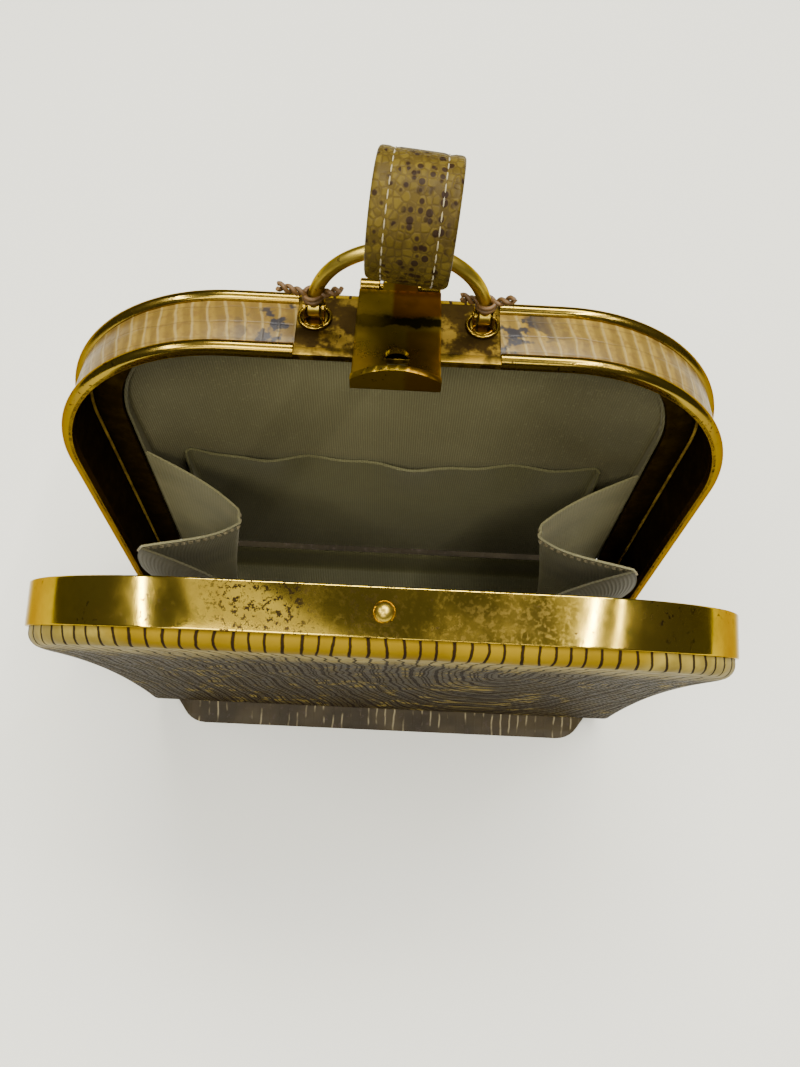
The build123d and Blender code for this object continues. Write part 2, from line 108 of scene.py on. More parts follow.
class Tap:
    """One shader socket. The operators on it add Math nodes to its tree."""

    def __init__(self, finish, socket):
        self.finish = finish
        self.socket = socket

    def math(self, operation, *others):
        return self.finish.node("ShaderNodeMath", {"operation": operation}, self, *others).out()

    def __add__(self, other):
        return self.math("ADD", other)

    __radd__ = __add__

    def __mul__(self, other):
        return self.math("MULTIPLY", other)

    __rmul__ = __mul__

    def __sub__(self, other):
        return self.math("SUBTRACT", other)

    def __rsub__(self, other):
        return self.finish.node("ShaderNodeMath", {"operation": "SUBTRACT"}, other, self).out()

    def __truediv__(self, other):
        return self.math("DIVIDE", other)

    def __abs__(self):
        return self.math("ABSOLUTE")

    def step(self, low, high, start=0.0, end=1.0):
        """Smooth step from start to end as the value goes from low to high."""
        settings = {"interpolation_type": "SMOOTHSTEP"}
        return self.finish.node("ShaderNodeMapRange", settings, self, low, high, start, end).out()


class Placed:
    """A node that was added to a finish, with its outputs as taps."""

    def __init__(self, finish, node):
        self.finish = finish
        self.node = node

    def out(self, name=0):
        return Tap(self.finish, self.node.outputs[name])


class Finish:
    """One procedural material, built from a principled shader and the nodes that feed it."""

    def __init__(self, name, **uniform):
        self.material = bpy.data.materials.new(name)
        self.material.use_nodes = True
        self.tree = self.material.node_tree
        self.shader = self.tree.nodes["Principled BSDF"]
        for socket, value in uniform.items():
            self.shader.inputs[socket.replace("_", " ")].default_value = value

    def node(self, kind, settings=None, *inputs, **named):
        """Adds a node and sets it up. Its inputs are values or taps; None leaves one alone."""
        node = self.tree.nodes.new(kind)
        for key, value in (settings or {}).items():
            setattr(node, key, value)
        for key, value in [*enumerate(inputs), *named.items()]:
            if value is None:
                continue
            socket = node.inputs[key.replace("_", " ") if isinstance(key, str) else key]
            if isinstance(value, Tap):
                self.tree.links.new(value.socket, socket)
            else:
                socket.default_value = value
        return Placed(self, node)

    def feed(self, **sockets):
        """Links taps to the principled shader's sockets."""
        for socket, tap in sockets.items():
            self.tree.links.new(tap.socket, self.shader.inputs[socket.replace("_", " ")])

    def noise(self, place, scale, detail=2.0, roughness=0.5, distortion=0.0):
        return self.node("ShaderNodeTexNoise", None, Vector=place, Scale=scale, Detail=detail,
                         Roughness=roughness, Distortion=distortion).out("Fac")

    def mix(self, factor, first, second):
        """Mixes two colours, given as taps or as red, green and blue."""
        pair = [value if isinstance(value, Tap) else (*value, 1) for value in (first, second)]
        unused = [None] * 5
        return self.node("ShaderNodeMix", {"data_type": "RGBA"}, factor, *unused, *pair).out(2)

    def bump(self, height, strength, distance, below=None):
        return self.node("ShaderNodeBump", None, Strength=strength, Distance=distance,
                         Height=height, Normal=below).out()

    def place(self):
        return self.node("ShaderNodeTexCoord").out("Object")


floor_finish = Finish("pale_cloth", Roughness=0.9, Base_Color=(0.66, 0.66, 0.60, 1))
floor_mesh.materials.append(floor_finish.material)

# The frames: two half frames of brass on rivets. The front one is a plain polished band,
# worn to small dark specks round the stud. Its inward flange holds the leather.
lean = radians(9.9)
hinge = Vector(frame["joints"][0]["pos_m"])
half_width = 80.0
frame_height = 136.5
corner_radius = 45.0
mouth_gap = 0.5
FRONT, REAR = -1, 1
front_depth, rear_depth = 10.0, 17.1
brass = 1.2


def place_on(side, x, depth, rise):
    """Places points given across, outwards and up one half, in millimetres, in the frame."""
    x, depth, rise = (np.asarray(value, float) for value in (x, depth, rise))
    y = side * (rise * sin(lean) + depth * cos(lean))
    z = rise * cos(lean) - depth * sin(lean)
    flat = np.broadcast_arrays(x * mm, y * mm, z * mm + hinge.z)
    return np.stack(flat, axis=-1)


def outline(inset, low, steps=(24, 28, 40), even=False):
    """The frame's outline at an inset, from the left foot over the top to the right foot."""
    legs, turns, top_steps = steps
    half = half_width - inset
    top = frame_height - inset
    radius = corner_radius * half / half_width if even else max(corner_radius - inset, 0.01)
    leg = np.linspace(low, top - radius, legs, endpoint=False)
    angle = np.linspace(0, pi / 2, turns, endpoint=False)
    left = np.concatenate([np.stack([np.full(legs, -half), leg], 1),
                           np.stack([-half + radius * (1 - np.cos(angle)),
                                     top - radius * (1 - np.sin(angle))], 1)])
    crown = np.linspace(-half + radius, half - radius, top_steps)
    middle = np.stack([crown, np.full(top_steps, top)], 1)
    return np.concatenate([left, middle, left[::-1] * (-1, 1)])


def grid_faces(rows, columns, wrap=False, offset=0):
    """Quads between the rows of a grid of points; wrap joins the last row to the first."""
    faces = []
    for row in range(rows if wrap else rows - 1):
        after = (row + 1) % rows
        for column in range(columns - 1):
            faces.append((offset + row * columns + column, offset + row * columns + column + 1,
                          offset + after * columns + column + 1, offset + after * columns + column))
    return faces


def make_piece(name, points, faces, finish, sharp=40.0):
    """Makes a mesh object with smooth shading that breaks at edges sharper than an angle."""
    mesh = bpy.data.meshes.new(name)
    mesh.from_pydata([tuple(point) for point in points], [], faces)
    tidy = bmesh.new()
    tidy.from_mesh(mesh)
    bmesh.ops.remove_doubles(tidy, verts=tidy.verts, dist=0.00001)
    bmesh.ops.recalc_face_normals(tidy, faces=tidy.faces)
    tidy.to_mesh(mesh)
    tidy.free()
    mesh.shade_smooth()
    mesh.set_sharp_from_angle(angle=radians(sharp))
    mesh.materials.append(finish.material)
    made = bpy.data.objects.new(name, mesh)
    bpy.context.scene.collection.objects.link(made)
    return made


def rounded(corners, radius, steps=5):
    """A closed outline with each corner turned by a small arc."""
    points = []
    count = len(corners)
    for index in range(count):
        before, corner, after = (np.array(corners[(index + shift) % count], float)
                                 for shift in (-1, 0, 1))
        to_before = (before - corner) / np.linalg.norm(before - corner)
        to_after = (after - corner) / np.linalg.norm(after - corner)
        for share in np.linspace(0, 1, steps):
            points.append(corner + radius * (to_before * (1 - share) ** 2 + to_after * share ** 2))
    return np.array(points)


def drawn(side, profile, line_at):
    """Points and faces of a closed profile of insets and depths, drawn along the line that
    belongs to each inset, with both ends closed."""
    rings = []
    for inset, depth in profile:
        line = line_at(inset)
        rings.append(place_on(side, line[:, 0], depth, line[:, 1]))
    count = len(rings[0])
    faces = grid_faces(len(rings), count, wrap=True)
    faces += [[row * count + end for row in range(len(rings))] for end in (0, count - 1)]
    return np.concatenate(rings), faces


def swept(side, profile, low):
    """A profile drawn along the frame's whole outline, from a height on its arms."""
    return drawn(side, profile, lambda inset: outline(inset, low))


def plate(side, x_inside, x_outside, corners, edge=0.25):
    """Points and faces of a flat arm end, from its outline of depths and rises."""
    outer = rounded(corners, 0.6)
    centre = outer.mean(0)
    rows = []
    step = edge if x_outside > x_inside else -edge
    for x, shrink in ((x_inside, 0), (x_outside - step, 0), (x_outside, edge)):
        rim = outer - (outer - centre) / np.linalg.norm(outer - centre, axis=1)[:, None] * shrink
        rows.append(place_on(side, x, rim[:, 0], rim[:, 1]))
    count = len(outer)
    faces = grid_faces(3, count)
    faces += [(row * count + count - 1, row * count, (row + 1) * count, (row + 1) * count + count - 1)
              for row in range(2)]
    faces += [list(range(count)), list(range(2 * count, 3 * count))]
    return np.concatenate(rows), faces


def joined(*groups):
    """Several groups of points and faces as one."""
    points, faces = [], []
    for group_points, group_faces in groups:
        start = sum(len(group) for group in points)
        points.append(np.asarray(group_points))
        faces += [[start + corner for corner in face] for face in group_faces]
    return np.concatenate(points), faces


def eye_outline(radius, tail):
    """Round eye about the hinge that runs on into a tail of corners up the arm."""
    turn = [(radius * cos(angle), radius * sin(angle)) for angle in np.linspace(pi, 2 * pi, 13)]
    return turn + tail


def brass_finish(name, bright, tarnish, specks, rough, web=False, crowded=False):
    """Brass with broad patches of tarnish and small dark specks, which may crowd round the stud. The web of
    the rear frame is black with age in its middle, between the ends of its rails, and its inner faces are
    darkened as painted shade."""
    finish = Finish(name, Metallic=1.0, Specular_Tint=(0.55, 0.42, 0.16, 1))
    place = finish.place()
    patches = finish.noise(place, 55, 5, 0.6).step(0.40, 0.72)
    cloudy = finish.noise(place, 320, 4, 0.65)
    pits = finish.noise(place, 900, 3, 0.6, 0.6)
    where = finish.noise(place, 70, 3, 0.6)
    x = finish.node("ShaderNodeSeparateXYZ", None, place).out("X") * 1000
    speck = pits.step(0.64 - specks, 0.68 - specks) * where.step(0.47, 0.60)
    if crowded:
        crowd = abs(x + 22).step(15, 6).math("MAXIMUM", abs(x + 2).step(10, 4) * 0.9)
        crowd = crowd.math("MAXIMUM", abs(x - 22).step(18, 8) * 0.75)
        speck = speck.math("MAXIMUM", finish.noise(place, 850, 4, 0.75).step(0.535, 0.565) * crowd)
    colour = finish.mix(patches * tarnish, bright, (0.24, 0.15, 0.02))
    colour = finish.mix(cloudy.step(0.45, 0.8) * 0.35, colour, (0.30, 0.19, 0.025))
    colour = finish.mix(speck * 0.95, colour, (0.02, 0.012, 0.008))
    if web:
        middle = abs(x).step(27, 22)
        bare = middle * finish.noise(place, 150, 4, 0.65).step(0.42, 0.56)
        colour = finish.mix(bare * 0.85, colour, (0.040, 0.026, 0.006))
    # Painted reflection: towards both ends (|x| from 60 to 74 mm) every brass part is darkened to a deep
    # brown, standing in for the dim brown reflection at the ends of the band.
    colour = finish.mix(abs(x).step(60, 74) * 0.6, colour, (0.10, 0.055, 0.010))
    if web:
        # Painted shade: everything more than about 3 mm behind the web's front edge, its inner faces, is
        # darkened to near black. It is a little less dark in the middle away from the bare patches, and the
        # same mask also roughens it.
        out = (0, cos(lean) * 1000, -sin(lean) * 1000)
        behind = finish.node("ShaderNodeVectorMath", {"operation": "DOT_PRODUCT"}, place, out)
        inner = (behind.out("Value") + hinge.z / mm * sin(lean)).step(2.3, 3.1)
        mottle = finish.noise(place, 240, 4, 0.65).step(0.34, 0.62)
        painted_shade_and_dull = inner * (mottle * 0.14 + 0.84) * (1 - middle * (1 - bare) * 0.5)
        colour = finish.mix(painted_shade_and_dull, colour, (0.022, 0.013, 0.004))
        rough = painted_shade_and_dull * 0.32 + rough
    finish.feed(Base_Color=colour, Roughness=patches * 0.10 + cloudy * 0.08 + speck * 0.15 + rough,
                Normal=finish.bump(cloudy, 0.02, 0.0003))
    return finish


polished_brass = brass_finish("polished_brass", (0.58, 0.41, 0.05), 0.55, 0.035, 0.05,
                              crowded=True)
aged_brass = brass_finish("aged_brass", (0.24, 0.16, 0.02), 0.85, 0.03, 0.16)

flange_inner = 5.6
arm_foot = 8.0
eye_radius = 5.0
front_profile = rounded([(0, mouth_gap), (brass, mouth_gap), (brass, front_depth - brass),
                         (flange_inner, front_depth - brass), (flange_inner, front_depth),
                         (0, front_depth)], 0.35)
front_eye = eye_outline(eye_radius, [(front_depth, 0.5), (front_depth, arm_foot), (mouth_gap, arm_foot),
                                     (-eye_radius + 0.4, 0.8)])
band = joined(swept(FRONT, front_profile, 1.0),
              *[plate(FRONT, end * (half_width - brass), end * half_width, front_eye) for end in (-1, 1)])
front_band = make_piece("front_band_brass", *band, polished_brass)
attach(front_band, "front_frame")
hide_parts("front_band")

# The rear frame: a brass channel whose two rails hold the leather inlay. The rails stop
# short of the middle, where the pitted web shows with a low ledge along its front edge.
rail = 1.4
rail_centre = 1.1
web_inset = 1.3
cutout = 21.2
rear_foot = 6.5
rail_lift = 1.2


def along_rail(inset, hand, low=rear_foot):
    """One side of the outline, from the arm's foot to the cut-out."""
    line = outline(inset, low, (24, 36, 41))
    left = line[line[:, 0] < 0]
    keep = left[left[:, 0] < -cutout]
    end = [[-cutout, frame_height - inset]]
    return np.concatenate([keep, end]) * (-hand, 1)


def rail_group(depth, hand):
    """Points and faces of one rail: a half round on a flat root."""
    turn = np.linspace(0, pi, 13)
    profile = [(rail_centre - rail * sin(angle), depth + rail * cos(angle)) for angle in turn]
    profile += [(2.2, depth - rail), (2.2, depth + rail)]
    return drawn(REAR, profile, lambda inset: along_rail(inset, hand, rear_foot + rail_lift))


web_back = web_inset + brass
web_profile = rounded([(web_inset, mouth_gap), (web_back, mouth_gap), (web_back, rear_depth - brass),
                       (web_back + 4.4, rear_depth - brass), (web_back + 4.4, rear_depth),
                       (web_inset, rear_depth)], 0.25)
ledge_line = np.linspace(-cutout, cutout, 30)
ledge_rows = [place_on(REAR, ledge_line, depth, np.full(30, rise)) for depth, rise in
              rounded([(mouth_gap, frame_height - 2.0), (mouth_gap, frame_height - 0.8),
                       (mouth_gap + 2.2, frame_height - 0.8), (mouth_gap + 2.2, frame_height - 2.0)], 0.2)]
ledge = np.concatenate(ledge_rows), grid_faces(len(ledge_rows), 30, wrap=True)
rear_tab = eye_outline(eye_radius, [(eye_radius, 0.2), (9.0, rear_foot), (9.0, 22.0), (mouth_gap, 22.0),
                                    (-eye_radius + 0.4, 0.8)])
tab_face = half_width - brass - 0.2
bead = [(web_back + 0.9 + 0.4 * cos(angle), rear_depth - 1.5 + 0.4 * sin(angle)) for angle in
        np.linspace(0, 2 * pi, 10, endpoint=False)]
rails = joined(*[rail_group(depth, hand) for depth in (mouth_gap + rail, rear_depth - rail)
                   for hand in (-1, 1)],
                 *[plate(REAR, end * (tab_face - brass), end * tab_face, rear_tab) for end in (-1, 1)])
rail_brass = brass_finish("rail_brass", (0.30, 0.21, 0.03), 0.8, 0.03, 0.12)
web_brass = brass_finish("web_brass", (0.26, 0.17, 0.02), 0.9, 0.04, 0.24, web=True)
rear_rails = make_piece("rear_rails_brass", *rails, rail_brass)
rear_web = make_piece("rear_web_brass", *joined(swept(REAR, web_profile, rear_foot), ledge), web_brass)
# Painted highlight: the bead along the web's inner corner is a real brass bead, but it has a much lighter
# gold than the other brass so that it reads as a bright line of light on that corner.
bead_brass = Finish("bead_brass", Metallic=0.7, Roughness=0.45)
mottle = bead_brass.noise(bead_brass.place(), 200, 3, 0.6)
bead_brass.feed(Base_Color=bead_brass.mix(mottle.step(0.35, 0.65), (0.75, 0.50, 0.07), (0.35, 0.22, 0.03)))
rear_bead = make_piece("rear_bead_brass", *swept(REAR, bead, rear_foot), bead_brass)
for piece in (rear_rails, rear_web, rear_bead):
    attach(piece, "rear_frame")
    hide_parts("rear_band")

# Thin brass retainers, one inside each frame, that clamp the edge of the lining.
for side, node, body, depth in ((FRONT, "front_retainer", "front_frame", front_depth),
                                (REAR, "rear_retainer", "rear_frame", rear_depth)):
    strip = rounded([(4.5, depth - 2.15), (11.0, depth - 2.15), (11.0, depth - 1.25),
                     (4.5, depth - 1.25)], 0.3)
    retainer = make_piece(f"{node}_brass", *swept(side, strip, arm_foot), web_brass)
    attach(retainer, body)
    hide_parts(node)


# Turned brass: the ball stud of the latch on the front band and the two hinge rivets.
def lofted(rings):
    """Points and faces of a closed body from closed rings, with a cap at each end."""
    count = len(rings[0])
    faces = []
    for row in range(len(rings) - 1):
        for column in range(count):
            after = (column + 1) % count
            faces.append((row * count + column, row * count + after,
                          (row + 1) * count + after, (row + 1) * count + column))
    last = (len(rings) - 1) * count
    faces += [list(range(count)), list(range(last, last + count))]
    return np.concatenate(rings), faces


def rod(base, axis, profile, steps=32):
    """Points and faces of a turned rod from radii and heights along an axis."""
    axis = Vector(axis).normalized()
    across = axis.orthogonal().normalized()
    beside = axis.cross(across)
    rings = []
    for radius, height in profile:
        turn = np.linspace(0, 2 * pi, steps, endpoint=False)
        spokes = [(across * cos(angle) + beside * sin(angle)) * max(radius, 0.001) for angle in turn]
        rings.append(np.array([Vector(base) + (axis * height + spoke) * mm for spoke in spokes]))
    return lofted(rings)


def turned(name, base, axis, profile, finish, steps=48):
    """A turned piece from radii and heights along an axis, in millimetres."""
    return make_piece(name, *rod(base, axis, profile, steps), finish)


def ball(radius, centre, start, steps=14):
    """Radii and heights of a ball from a start angle to its top."""
    angles = np.linspace(start, pi / 2, steps)
    return [(radius * cos(angle), centre + radius * sin(angle)) for angle in angles]


stud_radius = 2.0
up_front = Vector((0, -sin(lean), cos(lean)))
up_rear = Vector((0, sin(lean), cos(lean)))
out_rear = Vector((0, cos(lean), -sin(lean)))
stud_base = Vector(place_on(FRONT, 0, mouth_gap + 4.75, frame_height))
stud = turned("ball_stud_brass", stud_base, up_front,
              [(1.2, -0.4), (1.2, 0.4), *ball(stud_radius, 2.1, -0.9)],
              brass_finish("stud_brass", (0.42, 0.30, 0.045), 0.5, 0.0, 0.30))
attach(stud, "front_frame")
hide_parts("ball_stud")

for end, node in ((-1, "hinge_rivet_left"), (1, "hinge_rivet_right")):
    low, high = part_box(node)
    inner = low.x if end > 0 else high.x
    rivet = turned(f"{node}_brass", (inner, 0, hinge.z), (end, 0, 0),
                   [(2.8, 0), (3.0, 0.2), (3.0, 0.9), (1.5, 1.0), (1.5, 6.8), (3.6, 6.82), (3.6, 7.1),
                    (3.3, 7.6), (2.2, 7.95), (0.8, 8.0)], aged_brass)
    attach(rivet, "base")
    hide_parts(node)


# The leather halves: one skin over each half, held under the frame's edge, rolled over a
# soft edge, running beside the frame at its top and flaring to its foot.
roll_depth, roll_radius = 3.5, 3.0
foot_depths = {FRONT: 29.5, REAR: 31.0}
near_depths = {FRONT: front_depth, REAR: rear_depth}


def wedge_depth(side, rise, cut=0.0):
    """Depth of the leather's outer face at a height up the half."""
    top = near_depths[side] + roll_depth - cut
    foot = foot_depths[side] - cut
    return top + (foot - top) * np.clip(1 - rise / frame_height, 0, 1) ** 2


def half_skin(side, inset, cut, low, roll, start, steps=(34, 20, 40), stop=66.0):
    """Rows of points over one half: side wall, rolled edge, face, and the patch in its middle."""
    rows = []
    for share in np.linspace(0, 1, 8):
        line = outline(inset, low, steps)
        deep = wedge_depth(side, line[:, 1], cut) - roll
        rows.append((line, start + share * (deep - start)))
    for angle in np.linspace(0, pi / 2, 8)[1:]:
        line = outline(inset + roll * (1 - cos(angle)), low, steps)
        rows.append((line, wedge_depth(side, line[:, 1], cut) - roll * (1 - sin(angle))))
    for share in np.linspace(0, 1, 34)[1:]:
        run = inset + roll + share * (stop - inset - roll)
        line = outline(run, low, steps, even=True) if share > 0.02 else outline(run, low, steps)
        rows.append((line, wedge_depth(side, line[:, 1], cut)))
    count = len(rows[0][0])
    points = [place_on(side, line[:, 0], depth, line[:, 1]) for line, depth in rows]
    faces = grid_faces(len(rows), count)
    legs = steps[0]
    rim = rows[-1][0]
    crown = rim[legs:count - legs]
    share = (crown[:, 0] - crown[0, 0]) / (crown[-1, 0] - crown[0, 0])
    patch = []
    for row in range(legs):
        lift = (crown[:, 1] - crown[0, 1]) * (row / legs) ** 2
        x = rim[row, 0] + (rim[count - 1 - row, 0] - rim[row, 0]) * share
        patch.append(np.stack([x, rim[row, 1] + lift], 1))
    patch.append(crown)
    offset = len(rows) * count
    points += [place_on(side, line[:, 0], wedge_depth(side, line[:, 1], cut), line[:, 1]) for line in patch]
    faces += grid_faces(len(patch), len(crown), offset=offset)
    return np.concatenate(points), faces


def fresh_mesh(made):
    """Applies the modifiers of a piece, by taking its evaluated mesh."""
    bpy.context.view_layer.update()
    evaluated = made.evaluated_get(bpy.context.evaluated_depsgraph_get())
    mesh = bpy.data.meshes.new_from_object(evaluated)
    made.modifiers.clear()
    made.data = mesh


def thicken(made, thickness, offset=-1, hole=None, soft_edge=0.0):
    """Gives an open sheet its thickness, and a hole and softened edges where it has a hole."""
    wall = made.modifiers.new("wall", "SOLIDIFY")
    wall.thickness = thickness * mm
    wall.offset = offset
    wall.use_even_offset = True
    if hole:
        cut = made.modifiers.new("hole", "BOOLEAN")
        cut.object = hole
        cut.solver = "EXACT"
        soften = made.modifiers.new("edge", "BEVEL")
        soften.width = soft_edge * mm
        soften.segments = 3
        soften.limit_method = "ANGLE"
        soften.angle_limit = radians(50)
        soften.harden_normals = True
    fresh_mesh(made)
    made.data.shade_smooth()
    made.data.set_sharp_from_angle(angle=radians(50))


def take_in(made, other, sharp):
    """Puts another piece's mesh into a piece and smooths the whole."""
    whole = bmesh.new()
    for mesh in (made.data, other.data):
        whole.from_mesh(mesh)
    whole.to_mesh(made.data)
    whole.free()
    bpy.data.objects.remove(other)
    made.data.shade_smooth()
    made.data.set_sharp_from_angle(angle=radians(sharp))


def point_out(made, centre):
    """Turns a sheet's faces away from a point behind it."""
    shell = bmesh.new()
    shell.from_mesh(made.data)
    shell.faces.ensure_lookup_table()
    votes = sum((face.calc_center_median() - Vector(centre)).dot(face.normal) > 0
                for face in shell.faces)
    if votes < len(shell.faces) / 2:
        bmesh.ops.reverse_faces(shell, faces=shell.faces)
    shell.to_mesh(made.data)
    shell.free()
    return made


def half_place(finish, side):
    """Taps for millimetres across and millimetres down from the top of one half."""
    place = finish.place()
    across = finish.node("ShaderNodeSeparateXYZ", None, place).out("X") * 1000
    up = (0, side * sin(lean) * 1000, cos(lean) * 1000)
    rise = finish.node("ShaderNodeVectorMath", {"operation": "DOT_PRODUCT"}, place, up).out("Value")
    out = (0, side * cos(lean) * 1000, -sin(lean) * 1000)
    depth = finish.node("ShaderNodeVectorMath", {"operation": "DOT_PRODUCT"}, place, out).out("Value")
    base = hinge.z * 1000
    return place, across, frame_height + base * cos(lean) - rise, depth + base * sin(lean)


def scaled_leather(name, side, eye_across):
    """Reptile leather: wide bars that run down from the edge, then close rings of small scales."""
    finish = Finish(name, Specular_IOR_Level=0.02)
    place, across, down, depth = half_place(finish, side)
    wobble = finish.noise(place, 60, 2, 0.5) - 0.5
    fine = finish.noise(place, 420, 3, 0.6) - 0.5
    bar_pitch, scale_width, scale_height = 3.1, 1.75, 2.1
    ring = (down - 55).math("MAXIMUM", 0) * 0.42
    from_eye = across - eye_across
    field = (from_eye * from_eye + ring * ring).math("SQRT") + wobble * 5 + fine * 0.5
    bar = field / bar_pitch
    bar_edge = abs(bar.math("FRACT") - 0.5)
    half_bar = field / scale_width + 0.5
    half_edge = abs(half_bar.math("FRACT") - 0.5)
    lower = (down + wobble * 30).step(20, 48)
    stagger = half_bar.math("FLOOR") * 0.37
    brick = abs((down / scale_height + stagger + fine * 0.4).math("FRACT") - 0.5)
    painted_light_at_roll = down.step(5.0, 2.5)
    bar_line = bar_edge.step(0.12, 0.06)
    half_line = half_edge.step(0.16, 0.05) * lower
    brick_line = brick.step(0.17, 0.06) * lower
    lines = bar_line.math("MAXIMUM", half_line).math("MAXIMUM", brick_line * 0.8)
    cell = finish.node("ShaderNodeTexWhiteNoise", {"noise_dimensions": "2D"},
                       finish.node("ShaderNodeCombineXYZ", None, half_bar.math("FLOOR"),
                                   (down / scale_height + stagger).math("FLOOR")).out()).out("Value")
    clouds = finish.noise(place, 38, 3, 0.6)
    cream = finish.mix(finish.noise(place, 150, 3, 0.6).step(0.35, 0.7), (0.15, 0.11, 0.018),
                       (0.24, 0.18, 0.035))
    lit_amber = finish.mix(clouds.step(0.3, 0.7), (0.115, 0.070, 0.002), (0.17, 0.11, 0.004))
    grey = finish.mix(cell, (0.018, 0.0125, 0.0032), (0.048, 0.035, 0.011))
    grey = finish.mix(cell.step(0.80, 0.86) * clouds.step(0.44, 0.56), grey, (0.19, 0.14, 0.03))
    # Below the bars the leather turns dark grey: partly its own small-scale pattern, partly painted shade
    # on the lower face.
    colour = finish.mix(lower, cream, grey)
    # Painted light: the rolled top edge is coloured warm amber for the light falling on it.
    colour = finish.mix(painted_light_at_roll, colour, lit_amber)
    colour = finish.mix(lines * 0.95, colour, (0.008, 0.004, 0.003))
    blots = finish.noise(place, 26, 4, 0.65).step(0.56, 0.70) * down.step(8, 40)
    colour = finish.mix(blots * 0.35, colour, (0.040, 0.030, 0.014))
    height = (1 - lines) * 0.9 + fine * 0.5 + cell * lower * 0.25
    finish.feed(Base_Color=colour, Roughness=lines * 0.2 + cell * 0.12 + 0.38,
                Normal=finish.bump(height, 0.55, 0.00025))
    return finish


bag_centre = (0, 0, 0.07)
for side, node, body, inset, eye in ((FRONT, "front_panel", "front_frame", 0.8, 30.0),
                                     (REAR, "rear_panel", "rear_frame", 2.2, -18.0)):
    skin = scaled_leather(f"{node}_leather", side, eye)
    points, faces = half_skin(side, inset, 0, 0.2, roll_radius, near_depths[side] + 0.02)
    leather = point_out(make_piece(f"{node}_skin", points, faces, skin), bag_centre)
    thicken(leather, 1.3)
    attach(leather, body)
    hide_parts(node)

# The base: a leather tray with an ear at each end for the hinge rivets.
def tray_ring(length, depth, radius, level, steps=9):
    """A rounded rectangle seen from above, as a ring of points at a level."""
    ring = []
    for quarter, (sign_x, sign_y) in enumerate(((1, 1), (-1, 1), (-1, -1), (1, -1))):
        for angle in np.linspace(0, pi / 2, steps) + quarter * pi / 2:
            ring.append(((sign_x * (length / 2 - radius) + radius * cos(angle)) * mm,
                         (sign_y * (depth / 2 - radius) + radius * sin(angle)) * mm, level * mm))
    return np.array(ring)


def between(first, second, share):
    return first + (second - first) * share


foot_size = (140.5, 71.0, 9.0)
rim_size = (151.6, 52.0, 6.5)
tray_rings = [tray_ring(foot_size[0] - 2 * cut, foot_size[1] - 2 * cut, foot_size[2] - cut, level)
              for cut, level in ((1.6, 0), (0.7, 0.15), (0.2, 0.45), (0, 0.9))]
for share in np.linspace(0.2, 1, 7):
    size = [between(low, high, share) for low, high in zip(foot_size, rim_size)]
    tray_rings.append(tray_ring(*size, 0.5 + 3.9 * share ** 1.25))
for cut, level in ((0, 6.5), (0, 9), (0, 11.1), (0.2, 11.6), (0.7, 11.8), (1.1, 11.6), (1.4, 11.1),
                   (1.4, 6), (3.4, 3.4), (9, 1.4)):
    tray_rings.append(tray_ring(rim_size[0] - 2 * cut, rim_size[1] - 2 * cut,
                                max(rim_size[2] - cut, 2), level))
ears = []
for end in (-1, 1):
    turn = np.linspace(0, pi, 25)
    rim = [(6.0 * cos(angle), hinge.z / mm + 6.0 * sin(angle)) for angle in turn]
    rim += [(-6.0, 5.8), (6.0, 5.8)]
    rings = []
    for x, cut in ((75.8, 0.4), (75.65, 0.1), (74.55, 0.1), (74.4, 0.4)):
        rings.append(np.array([(end * x * mm, y * (1 - cut / 6) * mm, (14 + (z - 14) * (1 - cut / 6)) * mm)
                               for y, z in rim]))
    ears.append(lofted(rings))

base_hide = Finish("base_hide", Specular_IOR_Level=0.12)
spot = base_hide.place()
parts = base_hide.node("ShaderNodeSeparateXYZ", None, spot)
broad = base_hide.noise(spot, 55, 3, 0.6)
grain = base_hide.noise(spot, 500, 3, 0.6)
across = parts.out("X") * 1000 + (broad - 0.5) * 3
mark = abs((across / 3.1).math("FRACT") - 0.5).step(0.12, 0.04)
behind = (parts.out("Y") * 1000).step(18, 22)
tall = base_hide.noise(spot, 130, 2, 0.5).step(0.46, 0.58)
level = (parts.out("Z") * 1000).step(8.5, 4.5)
hide_colour = base_hide.mix(broad.step(0.3, 0.7), (0.019, 0.0135, 0.006), (0.042, 0.031, 0.014))
streaks = mark * tall * (level * 0.5 + 0.35) * (1 - behind * 0.9)
hide_colour = base_hide.mix(streaks, hide_colour, (0.20, 0.165, 0.09))
# Painted shade: towards the back, beyond about 20 mm, the hide is darkened to near black as a shadow line
# along the rear rim, and its cream streaks fade out there.
hide_colour = base_hide.mix(behind * 0.7, hide_colour, (0.008, 0.006, 0.003))
hide_colour = base_hide.mix(grain.step(0.58, 0.70) * 0.45, hide_colour, (0.05, 0.035, 0.03))
base_hide.feed(Base_Color=hide_colour, Roughness=grain * 0.3 + 0.34,
               Normal=base_hide.bump(grain + mark * -0.6, 0.4, 0.0002))
tray = make_piece("base_tray", *joined(lofted(tray_rings), *ears), base_hide, 50)
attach(tray, "base")
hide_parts("base_leather")

# The boards between leather and lining keep their solids and get a pressed pulp surface.
pulp = Finish("pressed_board", Roughness=0.85)
spot = pulp.place()
fibre = pulp.noise(spot, 350, 4, 0.7)
pulp.feed(Base_Color=pulp.mix(fibre, (0.26, 0.20, 0.13), (0.40, 0.32, 0.22)),
          Normal=pulp.bump(fibre, 0.2, 0.0001))
for node in ("base_board", "front_board", "rear_board"):
    board_mesh = bpy.data.objects[node].data
    board_mesh.materials.clear()
    board_mesh.materials.append(pulp.material)


